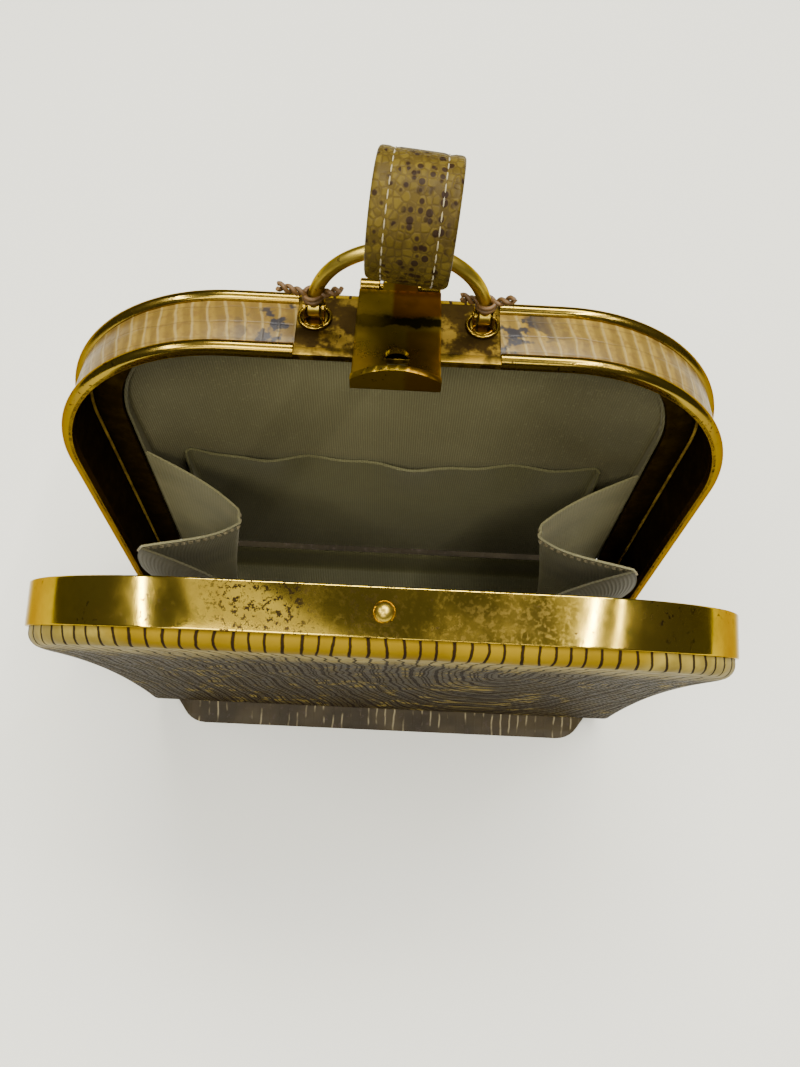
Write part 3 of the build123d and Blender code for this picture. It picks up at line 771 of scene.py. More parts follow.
# The cloth inside: satin with fine ribs. It lines both halves from the brass retainers
# down, and makes the slip pocket, the floor tray and the folded gussets.
def satin(name, dark, light, ribs, spacing=0.62, uv=False):
    """Ribbed satin; the ribs run along the height, or along V for folded pieces."""
    finish = Finish(name, Sheen_Weight=0.14, Sheen_Roughness=0.4, Sheen_Tint=(1, 0.93, 0.7, 1),
                    Specular_IOR_Level=0.2)
    place = finish.node("ShaderNodeTexCoord").out("UV") if uv else finish.place()
    parts = finish.node("ShaderNodeSeparateXYZ", None, place)
    soft = finish.noise(place, 34, 3, 0.55)
    thread = finish.noise(place, 1500, 2, 0.5)
    wander = finish.noise(place, 90, 2, 0.5) * 0.5
    rib = (parts.out("X") * (2000 * pi / spacing) + wander * 6).math("SINE") * 0.5 + 0.5
    weft = (parts.out("Y" if uv else "Z") * (2000 * pi / 0.45)).math("SINE") * 0.5 + 0.5
    # Painted sheen: soft lighter clouds across the cloth, and on the linings, pocket and floor cloth a
    # lighter band down the middle of the bag, a painted pool of light.
    sheen = soft.step(0.25, 0.75)
    if not uv:
        sheen = sheen * 0.35 + abs(parts.out("X")).step(0.055, 0.01) * 0.65
    colour = finish.mix(sheen, dark, light)
    # Painted shade: the troughs between the ribs are darkened towards half the dark colour.
    colour = finish.mix((1 - rib) * ribs, colour, tuple(value * 0.45 for value in dark))
    colour = finish.mix(thread.step(0.55, 0.75) * 0.3, colour, tuple(value * 1.3 for value in light))
    finish.feed(Base_Color=colour, Roughness=thread * 0.2 + 0.46,
                Normal=finish.bump(rib * 0.8 + weft * 0.15 + thread * 0.2, 0.35, 0.00018))
    return finish


def settle(made, held, cap, frames=16):
    """Lets cloth relax from its held points; no point moves further than the cap."""
    group = made.vertex_groups.new(name="held")
    for index, weight in held.items():
        group.add([index], weight, "REPLACE")
    start = [vertex.co.copy() for vertex in made.data.vertices]
    cloth = made.modifiers.new("cloth", "CLOTH")
    cloth.settings.quality = 6
    cloth.settings.mass = 0.15
    cloth.settings.tension_stiffness = 8
    cloth.settings.compression_stiffness = 8
    cloth.settings.bending_stiffness = 0.2
    cloth.settings.vertex_group_mass = "held"
    cloth.point_cache.frame_end = frames
    for number in range(1, frames + 1):
        bpy.context.scene.frame_set(number)
    bpy.context.view_layer.update()
    moved = made.evaluated_get(bpy.context.evaluated_depsgraph_get()).to_mesh()
    ends = [vertex.co.copy() for vertex in moved.vertices]
    made.modifiers.clear()
    for vertex, before, after in zip(made.data.vertices, start, ends):
        shift = after - before
        vertex.co = before + shift * min(1.0, cap * mm / max(shift.length, 1e-9))
    bpy.context.scene.frame_set(1)


lining_cloth = satin("lining_satin", (0.080, 0.071, 0.031), (0.185, 0.170, 0.084), 0.45)
lining_roll = 1.4
lining_foot = 8.5
for side, node, body in ((FRONT, "front_lining", "front_frame"), (REAR, "rear_lining", "rear_frame")):
    points, faces = half_skin(side, 11.2, 3.0, lining_foot, lining_roll, near_depths[side] - brass)
    cloth = point_out(make_piece(f"{node}_cloth", points, faces, lining_cloth), bag_centre)
    thicken(cloth, 0.75)
    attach(cloth, body)
    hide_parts(node)

# The slip pocket: one cloth panel over the lower rear lining. Its sides are sewn down and
# its top hem hangs a little open in soft waves.
pocket_half = 58.0
pocket_top = 74.0
pocket_cut = 4.0
sides, fronts = 9, 61
grid = []
for rise in np.linspace(lining_foot, pocket_top, 34):
    deep = float(wedge_depth(REAR, np.array(rise), pocket_cut))
    near = min(rear_depth + 0.1, deep - 4.5)
    turn = rounded([(-pocket_half, near - 1), (-pocket_half, deep), (pocket_half, deep),
                    (pocket_half, near - 1)], 2.0, 6)[6:18]
    wall = np.linspace(0, 1, sides)[:-1]
    left = np.stack([np.full(sides - 1, -pocket_half), near + (deep - 2 - near) * wall], 1)
    face = np.stack([np.linspace(turn[5][0], turn[6][0], fronts), np.full(fronts, deep)], 1)[1:-1]
    line = np.concatenate([left, turn[:6], face, turn[6:], left[::-1] * (-1, 1)])
    loose = np.clip((rise - 50) / 24, 0, 1) ** 2
    wave = 1.3 + 0.9 * np.sin(line[:, 0] / 7.5 + 0.6) + 0.5 * np.sin(line[:, 0] / 3.1)
    middle = np.clip(1 - (np.abs(line[:, 0]) / (pocket_half - 2)) ** 6, 0, 1)
    dip = 1.6 * loose * np.sin(line[:, 0] / 21 + 1.2) * middle
    beside = np.clip((deep - 2 - line[:, 1]) / (deep - 2 - near), 0, 1)
    level = lining_foot + (rise - lining_foot) * (1 - 0.55 * beside)
    grid.append(place_on(REAR, line[:, 0], line[:, 1] - wave * loose * middle, level - np.abs(dip)))
pocket_columns = len(grid[0])
pocket_cloth = satin("pocket_satin", (0.068, 0.063, 0.024), (0.138, 0.130, 0.058), 0.45)
pocket = make_piece("pocket_cloth", np.concatenate(grid), grid_faces(len(grid), pocket_columns),
                    pocket_cloth)
held = {}
for index, vertex in enumerate(pocket.data.vertices):
    low_down = vertex.co.z < 0.03
    sewn = abs(vertex.co.x) > (pocket_half - 1.5) * mm
    held[index] = 1.0 if low_down or sewn else 0.45
settle(pocket, held, 0.6)
point_out(pocket, bag_centre)
thicken(pocket, 0.75)
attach(pocket, "rear_frame")
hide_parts("slip_pocket")

# The floor lining: a shallow cloth tray over the base board.
floor_rings = [tray_ring(128 - 2 * cut, 46 - 2 * cut, max(8 - cut, 2), level) for cut, level in
               ((1.0, 3.0), (0.3, 3.2), (0, 3.8), (-0.6, 7), (-1.2, 10.5), (-1.5, 12.1), (-1.9, 13.2),
                (-2.3, 14.3), (-1.8, 14.7), (-1.2, 13.8), (-0.9, 12.6), (-0.6, 10.6), (0.1, 7), (0.8, 4.9),
                (1.2, 4.2), (2.0, 3.8), (20, 3.8))]
floor_cloth = make_piece("floor_cloth", *lofted(floor_rings), pocket_cloth, 60)
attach(floor_cloth, "base")
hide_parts("floor_lining")

# The gussets: a W-folded cloth at each end. Each is two halves that meet at the middle ridge; a half's
# outer edge runs up beside its frame.
gusset_foot, gusset_top = 10.0, 71.0
# Painted light and shade: two copies of one satin, a lighter one for the rear halves and a much darker one
# for the front halves, which face away from the light.
gusset_cloth = satin("gusset_satin", (0.11, 0.10, 0.045), (0.23, 0.21, 0.10), 0.18, 0.5, uv=True)
shaded_cloth = satin("gusset_shaded_satin", (0.026, 0.023, 0.008), (0.055, 0.048, 0.018), 0.2, 0.5, uv=True)
thread_finish = Finish("cotton_thread", Roughness=0.8, Sheen_Weight=0.3)
spot = thread_finish.place()
strand = thread_finish.noise(spot, 1200, 2, 0.5)
thread_finish.feed(Base_Color=thread_finish.mix(strand, (0.15, 0.12, 0.05), (0.27, 0.22, 0.11)))


def curve_tree(name, **sizes):
    """A new node tree for curves, with its sizes and a material as named inputs."""
    tree = bpy.data.node_groups.new(name, "GeometryNodeTree")
    face = tree.interface
    face.new_socket("Geometry", in_out="INPUT", socket_type="NodeSocketGeometry")
    for label, value in sizes.items():
        kind = "NodeSocketInt" if isinstance(value, int) else "NodeSocketFloat"
        face.new_socket(label, in_out="INPUT", socket_type=kind).default_value = value
    face.new_socket("Material", in_out="INPUT", socket_type="NodeSocketMaterial")
    face.new_socket("Geometry", in_out="OUTPUT", socket_type="NodeSocketGeometry")
    return tree, tree.nodes.new("NodeGroupInput")


def coated(tree, given, grown_part):
    """Ends a tree: what has grown becomes one mesh and gets the given material."""
    add, link = tree.nodes.new, tree.links.new
    real, coat = add("GeometryNodeRealizeInstances"), add("GeometryNodeSetMaterial")
    link(grown_part, real.inputs["Geometry"])
    link(real.outputs["Geometry"], coat.inputs["Geometry"])
    link(given.outputs["Material"], coat.inputs["Material"])
    link(coat.outputs["Geometry"], add("NodeGroupOutput").inputs["Geometry"])
    return tree


def stitch_tree():
    """Node tree that lays short thread stitches along a curve at a set pitch."""
    tree, given = curve_tree("stitch_row", Pitch=2.0 * mm, Length=1.4 * mm, Thickness=0.3 * mm)
    add, link = tree.nodes.new, tree.links.new
    evenly = add("GeometryNodeResampleCurve")
    evenly.mode = "LENGTH"
    link(given.outputs["Geometry"], evenly.inputs["Curve"])
    link(given.outputs["Pitch"], evenly.inputs["Length"])
    align = add("FunctionNodeAlignRotationToVector")
    align.axis = "X"
    link(add("GeometryNodeInputTangent").outputs["Tangent"], align.inputs["Vector"])
    bead = add("GeometryNodeMeshUVSphere")
    for label, value in (("Segments", 8), ("Rings", 6), ("Radius", 0.5)):
        bead.inputs[label].default_value = value
    size = add("ShaderNodeCombineXYZ")
    for label, direction in (("Length", "X"), ("Thickness", "Y"), ("Thickness", "Z")):
        link(given.outputs[label], size.inputs[direction])
    lay = add("GeometryNodeInstanceOnPoints")
    link(evenly.outputs["Curve"], lay.inputs["Points"])
    link(bead.outputs["Mesh"], lay.inputs["Instance"])
    link(align.outputs["Rotation"], lay.inputs["Rotation"])
    link(size.outputs["Vector"], lay.inputs["Scale"])
    return coated(tree, given, lay.outputs["Instances"])


def grown(name, paths, tree, closed=False, **values):
    """Makes a plain mesh from curves through points, with a node tree and its named inputs."""
    curve = bpy.data.curves.new(name, "CURVE")
    curve.dimensions = "3D"
    for path in paths:
        spline = curve.splines.new("POLY")
        spline.points.add(len(path) - 1)
        spline.points.foreach_set("co", [value for point in path for value in (*point, 1.0)])
        spline.use_cyclic_u = closed
    carrier = bpy.data.objects.new(f"{name}_path", curve)
    bpy.context.scene.collection.objects.link(carrier)
    nodes = carrier.modifiers.new("nodes", "NODES")
    sockets = {item.name: item.identifier for item in tree.interface.items_tree
               if item.in_out == "INPUT" and item.name != "Geometry"}
    nodes.node_group = tree
    for label, value in values.items():
        nodes[sockets[label]] = value
    bpy.context.view_layer.update()
    evaluated = carrier.evaluated_get(bpy.context.evaluated_depsgraph_get())
    mesh = bpy.data.meshes.new_from_object(evaluated)
    bpy.data.objects.remove(carrier)
    mesh.name = name
    mesh.shade_smooth()
    made = bpy.data.objects.new(name, mesh)
    bpy.context.scene.collection.objects.link(made)
    return made


stitches = stitch_tree()


def gusset_line(hand, side, height):
    """Plan of one half gusset at a height: attached edge, fold and middle ridge."""
    share = np.clip((height - gusset_foot) / (gusset_top - gusset_foot), 0, 1)
    attach_y = side * (height * sin(lean) + near_depths[side] * cos(lean))
    ridge_y = (near_depths[REAR] - near_depths[FRONT]) * cos(lean) / 2 - 2.5 * share
    fold = between(50.0, 38.0, share)
    ridge = between(60.0, 65.5, share) + 8.0 * np.sin(pi * share) ** 0.8
    reach = between(0.5, 0.66 if side == REAR else 0.5, share)
    edge_x = 68.2 if side == REAR else between(67.2, 72.5, share)
    corners = np.array([(hand * edge_x, attach_y), (hand * fold, between(attach_y, ridge_y, reach)),
                        (hand * ridge, ridge_y)])
    first = np.linspace(0, 1, 15)[:, None]
    line = np.concatenate([corners[0] + (corners[1] - corners[0]) * first,
                           corners[1] + (corners[2] - corners[1]) * first[1:]])
    eased = line.copy()
    for shift in (1, 2):
        eased[shift:-shift] = (eased[shift:-shift] * 2 + line[:-2 * shift] + line[2 * shift:]) / 4
    eased[0], eased[-1] = line[0], line[-1]
    return eased


for hand, tag in ((-1, "left"), (1, "right")):
    node = f"gusset_{tag}"
    for side, half, body in ((FRONT, "front", "front_frame"), (REAR, "rear", "rear_frame")):
        heights = np.linspace(0.5, gusset_top, 40)
        rows = []
        for height in heights:
            line = gusset_line(hand, side, height)
            along = np.linspace(0, 1, len(line))
            swoop = 1.8 * np.sin(along * pi * 2) ** 2 * (along > 0.5) * np.clip((height - 40) / 31, 0, 1)
            level = hinge.z / mm + height - swoop
            bulge = -3.6 * np.abs(np.sin(along * pi * 2)) * np.clip(height / 71, 0, 1) ** 1.5
            belly = 0.4 * np.sin(along * pi * 2) * np.sin(height / 9.0)
            rows.append(np.stack([line[:, 0] + hand * (belly + bulge), line[:, 1], level], 1) * mm)
        columns = len(rows[0])
        gusset = make_piece(f"gusset_{tag}_{half}", np.concatenate(rows), grid_faces(len(rows), columns),
                            gusset_cloth if side == REAR else shaded_cloth, 60)
        held = {}
        for index, vertex in enumerate(gusset.data.vertices):
            at_edge = index % columns in (0, columns - 1) or index < columns
            held[index] = 1.0 if at_edge else 0.5
        settle(gusset, held, 0.5)
        sheet_uv = gusset.data.uv_layers.new(name="cloth")
        for loop in gusset.data.loops:
            row, column = divmod(loop.vertex_index, columns)
            sheet_uv.data[loop.index].uv = (column * 1.25 * mm, heights[row] * mm)
        hem_paths = []
        for below in (1.2, 3.4):
            row = int(np.argmin(np.abs(heights - (gusset_top - below))))
            line = [gusset.data.vertices[row * columns + column].co for column in range(columns)]
            hem_paths.append([point + Vector((-hand * 0.12 * mm, 0, 0)) for point in line])
        point_out(gusset, (hand * 0.2, 0, 0.07))
        thicken(gusset, 0.6)
        frame_edge = Vector(place_on(side, hand * 67.2, near_depths[side], 40.5))
        seam = grown(f"gusset_stitches_{tag}_{half}", hem_paths, stitches, Pitch=1.9 * mm, Length=1.5 * mm,
                     Thickness=0.42 * mm, Material=thread_finish.material)
        for piece in (gusset, seam):
            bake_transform(piece)
        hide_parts(node)

# The inlays: two leather strips in the channel of the rear frame, scored by slanted grooves.
inlay_hide = Finish("inlay_hide", Specular_IOR_Level=0.25)
spot = inlay_hide.place()
parts = inlay_hide.node("ShaderNodeSeparateXYZ", None, spot)
wobble = inlay_hide.noise(spot, 120, 2, 0.5) - 0.5
grain = inlay_hide.noise(spot, 600, 3, 0.6)
across = (parts.out("X") * 1000 + parts.out("Y") * 160 + wobble * 2.2) / 3.6
groove = abs(across.math("FRACT") - 0.5).step(0.12, 0.03)
band_tone = abs((across + 0.35).math("FRACT") - 0.5).step(0.36, 0.10)
cross = abs(((parts.out("Y") * 1000 + wobble * 1.5) / 4.2).math("FRACT") - 0.5).step(0.07, 0.02)
clouds = inlay_hide.noise(spot, 45, 3, 0.6)
tan = inlay_hide.mix(clouds.step(0.3, 0.7), (0.115, 0.070, 0.010), (0.19, 0.125, 0.022))
ink = inlay_hide.noise(spot, 190, 3, 0.6).step(0.50, 0.57) * (abs(parts.out("X") * 1000).step(38, 26))
tan = inlay_hide.mix(grain.step(0.42, 0.66) * 0.55, tan, (0.085, 0.045, 0.010))
tan = inlay_hide.mix(band_tone * 0.6, tan, (0.075, 0.046, 0.010))
tan = inlay_hide.mix(groove * 0.42, tan, (0.24, 0.19, 0.08))
tan = inlay_hide.mix(cross * 0.3, tan, (0.05, 0.03, 0.010))
tan = inlay_hide.mix(ink * 0.9, tan, (0.010, 0.012, 0.020))
inlay_hide.feed(Base_Color=tan, Roughness=grain * 0.25 + 0.25,
                Normal=inlay_hide.bump(1 - groove.math("MAXIMUM", cross * 0.6) + grain * 0.2, 0.22, 0.0003))
inlay_near, inlay_far = 2 * rail + mouth_gap - 0.1, rear_depth - 2 * rail + 0.1
for hand, node in ((-1, "inlay_left"), (1, "inlay_right")):
    section = rounded([(1.0, inlay_near), (0.75, (inlay_near + inlay_far) / 2), (1.0, inlay_far),
                       (1.35, inlay_far), (1.35, inlay_near)], 0.15, 4)
    shape = drawn(REAR, section, lambda inset: along_rail(inset, hand))
    strip = make_piece(f"{node}_hide", *shape, inlay_hide, 60)
    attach(strip, "rear_frame")
    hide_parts(node)

# The latch: a hinge plate on the bare web, its pin, and one bent brass tongue with a hole
# for the stud and a lifted lip cut to an arc.
latch_half = 8.5
pin_depth, pin_rise = 18.8, frame_height + 0.7
web_top = frame_height - web_inset
latch_axis = Vector(place_on(REAR, 0, pin_depth, pin_rise))


def rim_box(x_low, x_high, y_low, y_high, radius=0.6, steps=4):
    """A rounded rectangle in the plane of the web, as across and depth pairs."""
    return rounded([(x_low, y_low), (x_high, y_low), (x_high, y_high), (x_low, y_high)], radius, steps)


def web_slab(rim, low, high, edge=0.15):
    """A plate that lies on the web between two rises, with a softened upper edge."""
    centre = rim.mean(0)
    rings = []
    for rise, cut in ((low, 0), (high - edge, 0), (high - edge * 0.3, edge * 0.4), (high, edge)):
        shrunk = rim - (rim - centre) / np.linalg.norm(rim - centre, axis=1)[:, None] * cut
        rings.append(place_on(REAR, shrunk[:, 0], shrunk[:, 1], rise))
    return lofted(rings)


knuckle = 1.7
leaf = web_slab(rim_box(-latch_half, latch_half, 5.0, pin_depth), web_top, web_top + 0.7)
knuckles = [rod(latch_axis, (end, 0, 0), [(knuckle - 0.25, 4.3), (knuckle, 4.5), (knuckle, 8.3),
                                          (knuckle - 0.25, 8.5)]) for end in (-1, 1)]
hinge_plate = make_piece("hinge_plate_brass", *joined(leaf, *knuckles), aged_brass)
pin_profile = [(0.5, -8.5), (0.8, -8.3), (0.8, 8.3), (0.5, 8.5)]
pin = make_piece("latch_pin_brass", *rod(latch_axis, (1, 0, 0), pin_profile), aged_brass)
for piece, node in ((hinge_plate, "latch_hinge_plate"), (pin, "latch_pin")):
    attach(piece, "rear_frame")
    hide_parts(node)

lifted = radians(6.0)
forward = -out_rear * cos(lifted) + up_rear * sin(lifted)
latch_up = up_rear * cos(lifted) + out_rear * sin(lifted)


def latch_point(x, ahead, height):
    return latch_axis + (Vector((x, 0, 0)) + forward * ahead + latch_up * height) * mm


# The tongue's side line: a low start at the knuckle, a soft rise, a flat run, then the lip.
line_points = [(3.4, 0.72), (5.5, 0.86), (8.0, 1.03), (10.2, 1.18), (11.6, 1.27), (12.6, 1.30),
               (14.0, 1.30)]
line_points += [(ahead, 1.30) for ahead in np.linspace(15, 30.4, 14)]
line_points += [(31.1 + 0.9 * sin(angle), 2.2 - 0.9 * cos(angle)) for angle in np.linspace(0.1, 1.35, 6)]
lip_foot = 2.2
columns = 35
tongue_rows = []
tongue_across = np.linspace(-latch_half, latch_half, columns)
for ahead, height in line_points:
    tongue_rows.append([latch_point(x, ahead, height) for x in tongue_across])
arc_radius = 23.67
for share in np.linspace(0.08, 1, 12):
    row = []
    for x in tongue_across:
        crest = 2.5 + 5.6 - 2.2 * (arc_radius - sqrt(arc_radius ** 2 - x * x))
        height = lip_foot + (crest - lip_foot) * share
        row.append(latch_point(x, 32.0 + 0.22 * (height - lip_foot), height))
    tongue_rows.append(row)


def paint_latch(finish, plain):
    """Adds a dark band across the tongue, which is a painted reflection, and the reddish tone on its right.
    """
    place = finish.place()
    local = finish.node("ShaderNodeVectorMath", {"operation": "SUBTRACT"}, place, tuple(latch_axis)).out()
    ahead = finish.node("ShaderNodeVectorMath", {"operation": "DOT_PRODUCT"}, local,
                        tuple(forward * 1000)).out("Value")
    x = finish.node("ShaderNodeSeparateXYZ", None, place).out("X") * 1000
    rough_edge = (finish.noise(place, 260, 4, 0.6) - 0.5) * 5
    red = (x + rough_edge * 0.1).step(-1.8, -0.8) * (ahead + x * 0.2).step(14.0, 12.5)
    red_low = (x + rough_edge * 0.1).step(1.0, 2.5) * ahead.step(15.0, 17.0) * 0.6
    # Painted reflection: a dark band across the tongue, about 12 to 15 mm ahead of the pin, darker to the
    # right.
    dark_reflection_band = (ahead + rough_edge).step(11.6, 12.6) * (ahead + rough_edge).step(15.4, 14.4)
    colour = finish.mix(red.math("MAXIMUM", red_low) * 0.8, plain, (0.13, 0.035, 0.003))
    return finish.mix(dark_reflection_band * (x + rough_edge).step(-6, 0, 0.45, 0.92), colour, (0.010, 0.011, 0.004))


latch_brass = brass_finish("latch_brass", (0.25, 0.165, 0.012), 0.5, 0.0, 0.24)
plain_colour = Tap(latch_brass, latch_brass.shader.inputs["Base Color"].links[0].from_socket)
latch_brass.feed(Base_Color=paint_latch(latch_brass, plain_colour))
tongue = make_piece("latch_tongue", [point for row in tongue_rows for point in row],
                    grid_faces(len(tongue_rows), columns), latch_brass)
point_out(tongue, latch_axis - latch_up * 0.1)
drill = turned("latch_drill", latch_point(0, 24.05, -3), latch_up, [(2.6, 0), (2.6, 9)], latch_brass, 64)
thicken(tongue, brass, 1, drill, 0.22)
bpy.data.objects.remove(drill)
centre_knuckle = joined(rod(latch_axis, (1, 0, 0), [(knuckle - 0.2, -3.7), (knuckle, -3.5), (knuckle, 3.5),
                                                    (knuckle - 0.2, 3.7)]),
                        lofted([np.array([latch_point(x, ahead, height) for x, height in
                                          ((-3.6, low), (3.6, low), (3.6, low + 1.15), (-3.6, low + 1.15))])
                                for ahead, low in ((0.4, 0.52), (3.6, 0.74))]))
knuckle_piece = make_piece("latch_knuckle", *centre_knuckle, latch_brass)
take_in(tongue, knuckle_piece, 35)
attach(tongue, "latch")
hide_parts("latch")


# The bail: a half ring of round wire with an eye at each end, in two forks with pins.
# Each fork stands in a small wire ring.
def wire_tree():
    """Node tree that turns curves into round wire with closed ends."""
    tree, given = curve_tree("round_wire", Radius=mm, Sides=16)
    add, link = tree.nodes.new, tree.links.new
    profile = add("GeometryNodeCurvePrimitiveCircle")
    link(given.outputs["Sides"], profile.inputs["Resolution"])
    link(given.outputs["Radius"], profile.inputs["Radius"])
    wire = add("GeometryNodeCurveToMesh")
    link(given.outputs["Geometry"], wire.inputs["Curve"])
    link(profile.outputs["Curve"], wire.inputs["Profile Curve"])
    wire.inputs["Fill Caps"].default_value = True
    return coated(tree, given, wire.outputs["Mesh"])


wires = wire_tree()
bail_radius = 17.5
bail_brass = brass_finish("bail_brass", (0.50, 0.37, 0.055), 0.5, 0.0, 0.27)
bail_axis = Vector(place_on(REAR, 0, 11.0, frame_height + 2.0))
bail_tilt = radians(-5.0)
bail_up = up_rear * cos(bail_tilt) + out_rear * sin(bail_tilt)
bail_back = out_rear * cos(bail_tilt) - up_rear * sin(bail_tilt)
arc = [bail_axis + (Vector((cos(angle), 0, 0)) + bail_up * sin(angle)) * bail_radius * mm
       for angle in np.linspace(0, pi, 73)]
bail = grown("bail_wire", [arc], wires, Radius=1.4 * mm, Sides=28, Material=bail_brass.material)
eye_groups = [rod(bail_axis + Vector((hand * bail_radius * mm, 0, 0)), (1, 0, 0),
                  [(1.6, -1.3), (1.9, -1.1), (1.9, 1.1), (1.6, 1.3)]) for hand in (-1, 1)]
eyes = make_piece("bail_eyes", *joined(*eye_groups), bail_brass)
take_in(bail, eyes, 40)
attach(bail, "bail")
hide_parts("bail")

for hand, tag in ((-1, "left"), (1, "right")):
    at = hand * bail_radius
    foot_rim = np.array([(at + 2.75 * cos(angle), 11.0 + 2.75 * sin(angle)) for angle in
                         np.linspace(0, 2 * pi, 40, endpoint=False)])
    cheeks = []
    for cheek in (-1, 1):
        turn = [(11.0 + 1.6 * cos(angle), frame_height + 2.0 + 1.6 * sin(angle)) for angle in
                np.linspace(0, pi, 15)]
        rim = np.array(turn + [(9.4, web_top + 0.3), (12.6, web_top + 0.3)])
        rings = []
        for x, cut in ((1.6, 0.12), (1.68, 0), (2.12, 0), (2.2, 0.12)):
            rings.append(place_on(REAR, at + cheek * x, 11.0 + (rim[:, 0] - 11.0) * (1 - cut / 1.6),
                                  rim[:, 1] - cut))
        cheeks.append(lofted(rings))
    foot = web_slab(foot_rim, web_top, web_top + 0.6)
    fork = make_piece(f"fork_{tag}_brass", *joined(foot, *cheeks), aged_brass)
    centre = bail_axis + Vector((at * mm, 0, 0))
    pin = turned(f"fork_pin_{tag}_brass", centre, (1, 0, 0),
                 [(0.35, -2.5), (0.6, -2.35), (0.6, 2.35), (0.35, 2.5)], aged_brass, 20)
    ring_centre = Vector(place_on(REAR, at, 11.0, web_top + 0.43))
    loop = [ring_centre + (Vector((cos(angle), 0, 0)) + out_rear * sin(angle)) * 3.25 * mm
            for angle in np.linspace(0, 2 * pi, 48, endpoint=False)]
    ring = grown(f"ring_{tag}_wire", [loop], wires, closed=True, Radius=0.4 * mm, Sides=12,
                 Material=aged_brass.material)
    for piece, node in ((fork, f"bail_fork_{tag}"), (pin, f"bail_pin_{tag}"), (ring, f"wire_ring_{tag}")):
        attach(piece, "rear_frame")
        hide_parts(node)

# The finger strap: a closed leather loop round the bail wire, with a stitch row along each
# edge. It hangs turned a few degrees on the wire.
eye_centre, eye_loop = np.array((-0.8, -1.5)), 3.8
finger_centre, finger_loop = np.array((-6.0, 13.5)), 9.5
strap_half, strap_thick = 7.2, 2.0
strap_yaw, strap_roll = radians(4.5), radians(2.2)
strap_apex = bail_axis + bail_up * bail_radius * mm + Vector((1.5 * mm, 0, 0))
apart = np.hypot(*(finger_centre - eye_centre))
heading = np.arctan2(*(finger_centre - eye_centre)[::-1])
swing = np.arccos((eye_loop - finger_loop) / apart)
upper = np.linspace(heading - swing, heading + swing, 56)
lower = np.linspace(heading + swing, heading - swing + 2 * pi, 34)
stations = [(finger_centre, finger_loop, angle, 0.0) for angle in upper]
stations += [(finger_centre, finger_loop, upper[-1], share) for share in np.linspace(0, 1, 16)[1:-1]]
stations += [(eye_centre, eye_loop, angle, 0.0) for angle in lower]
stations += [(eye_centre, eye_loop, lower[-1], share) for share in np.linspace(0, 1, 16)[1:-1]]


def strap_place(centre, radius, angle, share, x, lift):
    """A point on the strap, from its place round the loop, across it, and off its middle layer."""
    normal = np.array((cos(angle), sin(angle)))
    flat = centre + normal * (radius + lift)
    if share:
        other, reach = (eye_centre, eye_loop) if centre is finger_centre else (finger_centre, finger_loop)
        flat = between(flat, other + normal * (reach + lift), share)
    back, rise = flat
    swung = x * cos(strap_yaw) + (back + 5) * sin(strap_yaw)
    back = (back + 5) * cos(strap_yaw) - x * sin(strap_yaw) - 5
    leaned = swung * cos(strap_roll) + rise * sin(strap_roll)
    rise = rise * cos(strap_roll) - swung * sin(strap_roll)
    return strap_apex + (Vector((leaned, 0, 0)) + bail_back * back + bail_up * rise) * mm


inside, outside = -strap_thick / 2, strap_thick / 2
section = rounded([(-strap_half, inside), (0, inside - 0.02), (strap_half, inside), (strap_half, outside),
                   (0, outside + 0.02), (-strap_half, outside)], 0.8, 5)
dense = []
for index, (x, lift) in enumerate(section):
    after = section[(index + 1) % len(section)]
    gap = abs(after[0] - x)
    count = max(int(gap / 0.9), 1)
    dense += [(x + (after[0] - x) * step / count, lift + (after[1] - lift) * step / count)
              for step in range(count)]
points = []
for x, lift in dense:
    seam_dip = 0.22 * np.exp(-((abs(x) - 4.4) / 0.5) ** 2) * (1 if lift > 0 else 0)
    points += [strap_place(*station, x, lift - seam_dip) for station in stations]
count = len(stations)
faces = []
for row in range(len(dense)):
    after_row = (row + 1) % len(dense)
    for column in range(count):
        after = (column + 1) % count
        faces.append((row * count + column, row * count + after, after_row * count + after,
                      after_row * count + column))
strap_hide = Finish("strap_hide", Specular_IOR_Level=0.06)
spot = strap_hide.node("ShaderNodeTexCoord").out("UV")
cells = strap_hide.node("ShaderNodeTexVoronoi", {"feature": "DISTANCE_TO_EDGE"}, Vector=spot, Scale=780,
                        Randomness=0.7).out("Distance")
scales = strap_hide.node("ShaderNodeTexVoronoi", None, Vector=spot, Scale=780, Randomness=0.7)
shade = scales.out("Color")
tone = strap_hide.node("ShaderNodeSeparateXYZ", None, shade).out("X")
grain = strap_hide.noise(spot, 900, 3, 0.6)
clouds = strap_hide.noise(spot, 70, 3, 0.6)
edges = cells.step(0.20, 0.03)
parts = strap_hide.node("ShaderNodeSeparateXYZ", None, spot)
chance = strap_hide.node("ShaderNodeSeparateXYZ", None, shade)
column = abs(parts.out("X") * 1000 - 9.2).step(5.0, 3.0)
picked = chance.out("Y").step(0.42, 0.46) * column
picked = picked.math("MAXIMUM", chance.out("Z").step(0.80, 0.82))
dark_rows = scales.out("Distance").step(0.54, 0.38) * picked
dark_rows = dark_rows.math("MAXIMUM", strap_hide.noise(spot, 170, 3, 0.6).step(0.60, 0.68) * 0.7)
skin_tone = strap_hide.mix(clouds.step(0.3, 0.7), (0.038, 0.025, 0.003), (0.078, 0.054, 0.007))
skin_tone = strap_hide.mix(tone * 0.35, skin_tone, (0.13, 0.092, 0.012))
skin_tone = strap_hide.mix(edges * 0.5, skin_tone, (0.025, 0.015, 0.005))
skin_tone = strap_hide.mix(dark_rows * 0.9, skin_tone, (0.010, 0.004, 0.003))
strap_hide.feed(Base_Color=skin_tone, Roughness=grain * 0.25 + 0.33,
                Normal=strap_hide.bump(1 - edges + grain * 0.2, 0.3, 0.0002))
strap = make_piece("strap_loop", points, faces, strap_hide, 60)
girth = [0.0]
for first, second in zip(points[:count - 1], points[1:count]):
    girth.append(girth[-1] + (Vector(second) - Vector(first)).length)
strap_uv = strap.data.uv_layers.new(name="strap")
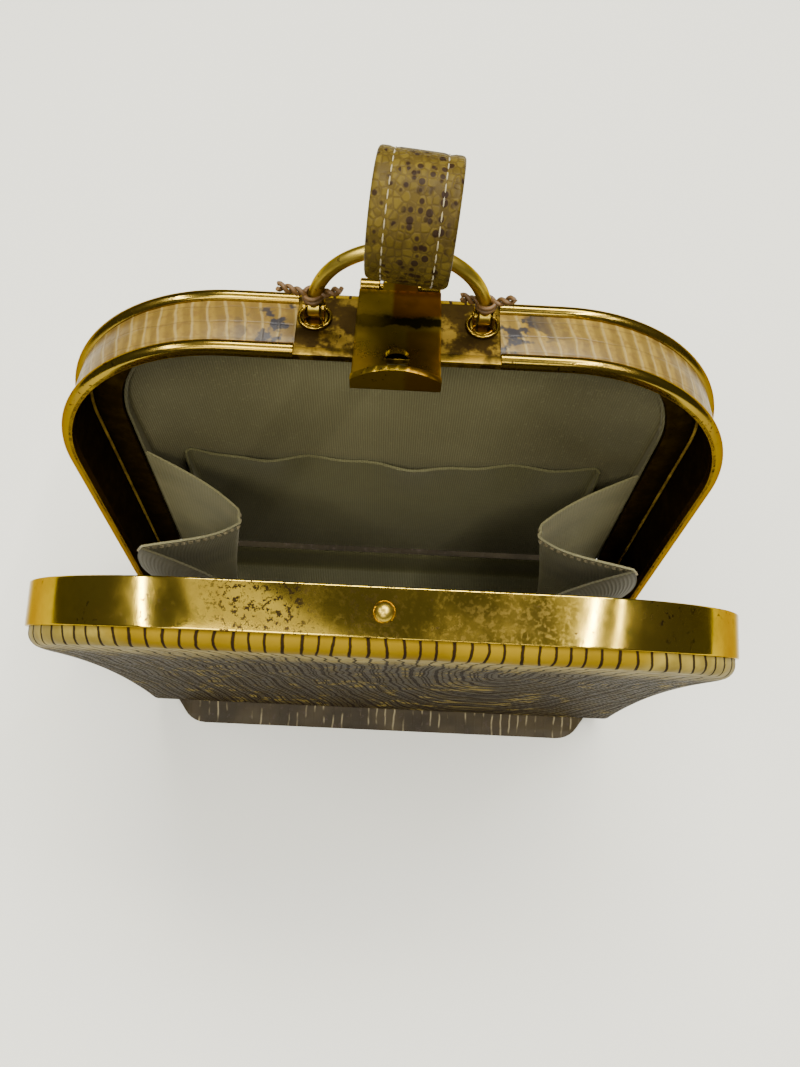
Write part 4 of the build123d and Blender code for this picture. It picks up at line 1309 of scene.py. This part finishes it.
for polygon in strap.data.polygons:
    around = [vertex % count for vertex in polygon.vertices]
    wraps = max(around) - min(around) > count / 2
    for loop_index, station_index, vertex in zip(polygon.loop_indices, around, polygon.vertices):
        length = girth[-1] + 0.001 if wraps and station_index == 0 else girth[station_index]
        strap_uv.data[loop_index].uv = ((dense[vertex // count][0] + strap_half) * mm, length)
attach(strap, "bail")
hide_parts("finger_strap")
seam_paths = [[strap_place(*station, x, outside - 0.12) for station in stations] for x in (-4.4, 4.4)]
strap_seams = grown("strap_stitches", seam_paths, stitches, closed=True, Pitch=2.2 * mm, Length=1.7 * mm,
                    Thickness=0.26 * mm, Material=thread_finish.material)
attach(strap_seams, "bail")

# Twisted ties: short brown wire twists behind the ends of the bail.
tie_finish = Finish("brown_wire", Specular_IOR_Level=0.3)
spot = tie_finish.place()
rust = tie_finish.noise(spot, 800, 3, 0.6)
tie_finish.feed(Base_Color=tie_finish.mix(rust, (0.035, 0.016, 0.004), (0.13, 0.068, 0.018)),
                Roughness=rust * 0.3 + 0.35)
for hand, tag, outer, inner in ((-1, "left", 6.0, 5.0), (1, "right", 4.6, 4.4)):
    strands = []
    for side_way, reach in ((hand, outer), (-hand, inner)):
        start = Vector((hand * bail_radius + side_way * 1.2, 0, 0)) - bail_back * 0.2 + bail_up * 4.0
        start = bail_axis + start * mm
        drift = (Vector((side_way, 0, 0)) - bail_back * 0.05 + bail_up * 0.4).normalized()
        across = drift.orthogonal().normalized()
        beside = drift.cross(across)
        for phase in (0, pi):
            strand = []
            for share in np.linspace(0, 1, 60):
                turn = phase + share * reach * 1.7
                twist = (across * cos(turn) + beside * sin(turn)) * (0.45 + 0.12 * share)
                strand.append(start + (drift * reach * share + twist) * mm)
            strands.append(strand)
    wound = []
    for turn in np.linspace(0, 4 * pi, 90):
        spot = Vector((hand * bail_radius + 1.8 * cos(turn), 0, 0))
        spot = spot + bail_back * 1.8 * sin(turn) + bail_up * (2.4 + 0.16 * turn)
        wound.append(bail_axis + spot * mm)
    strands.append(wound)
    tie = grown(f"tie_{tag}", strands, wires, Radius=0.48 * mm, Sides=10, Material=tie_finish.material)
    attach(tie, "bail")
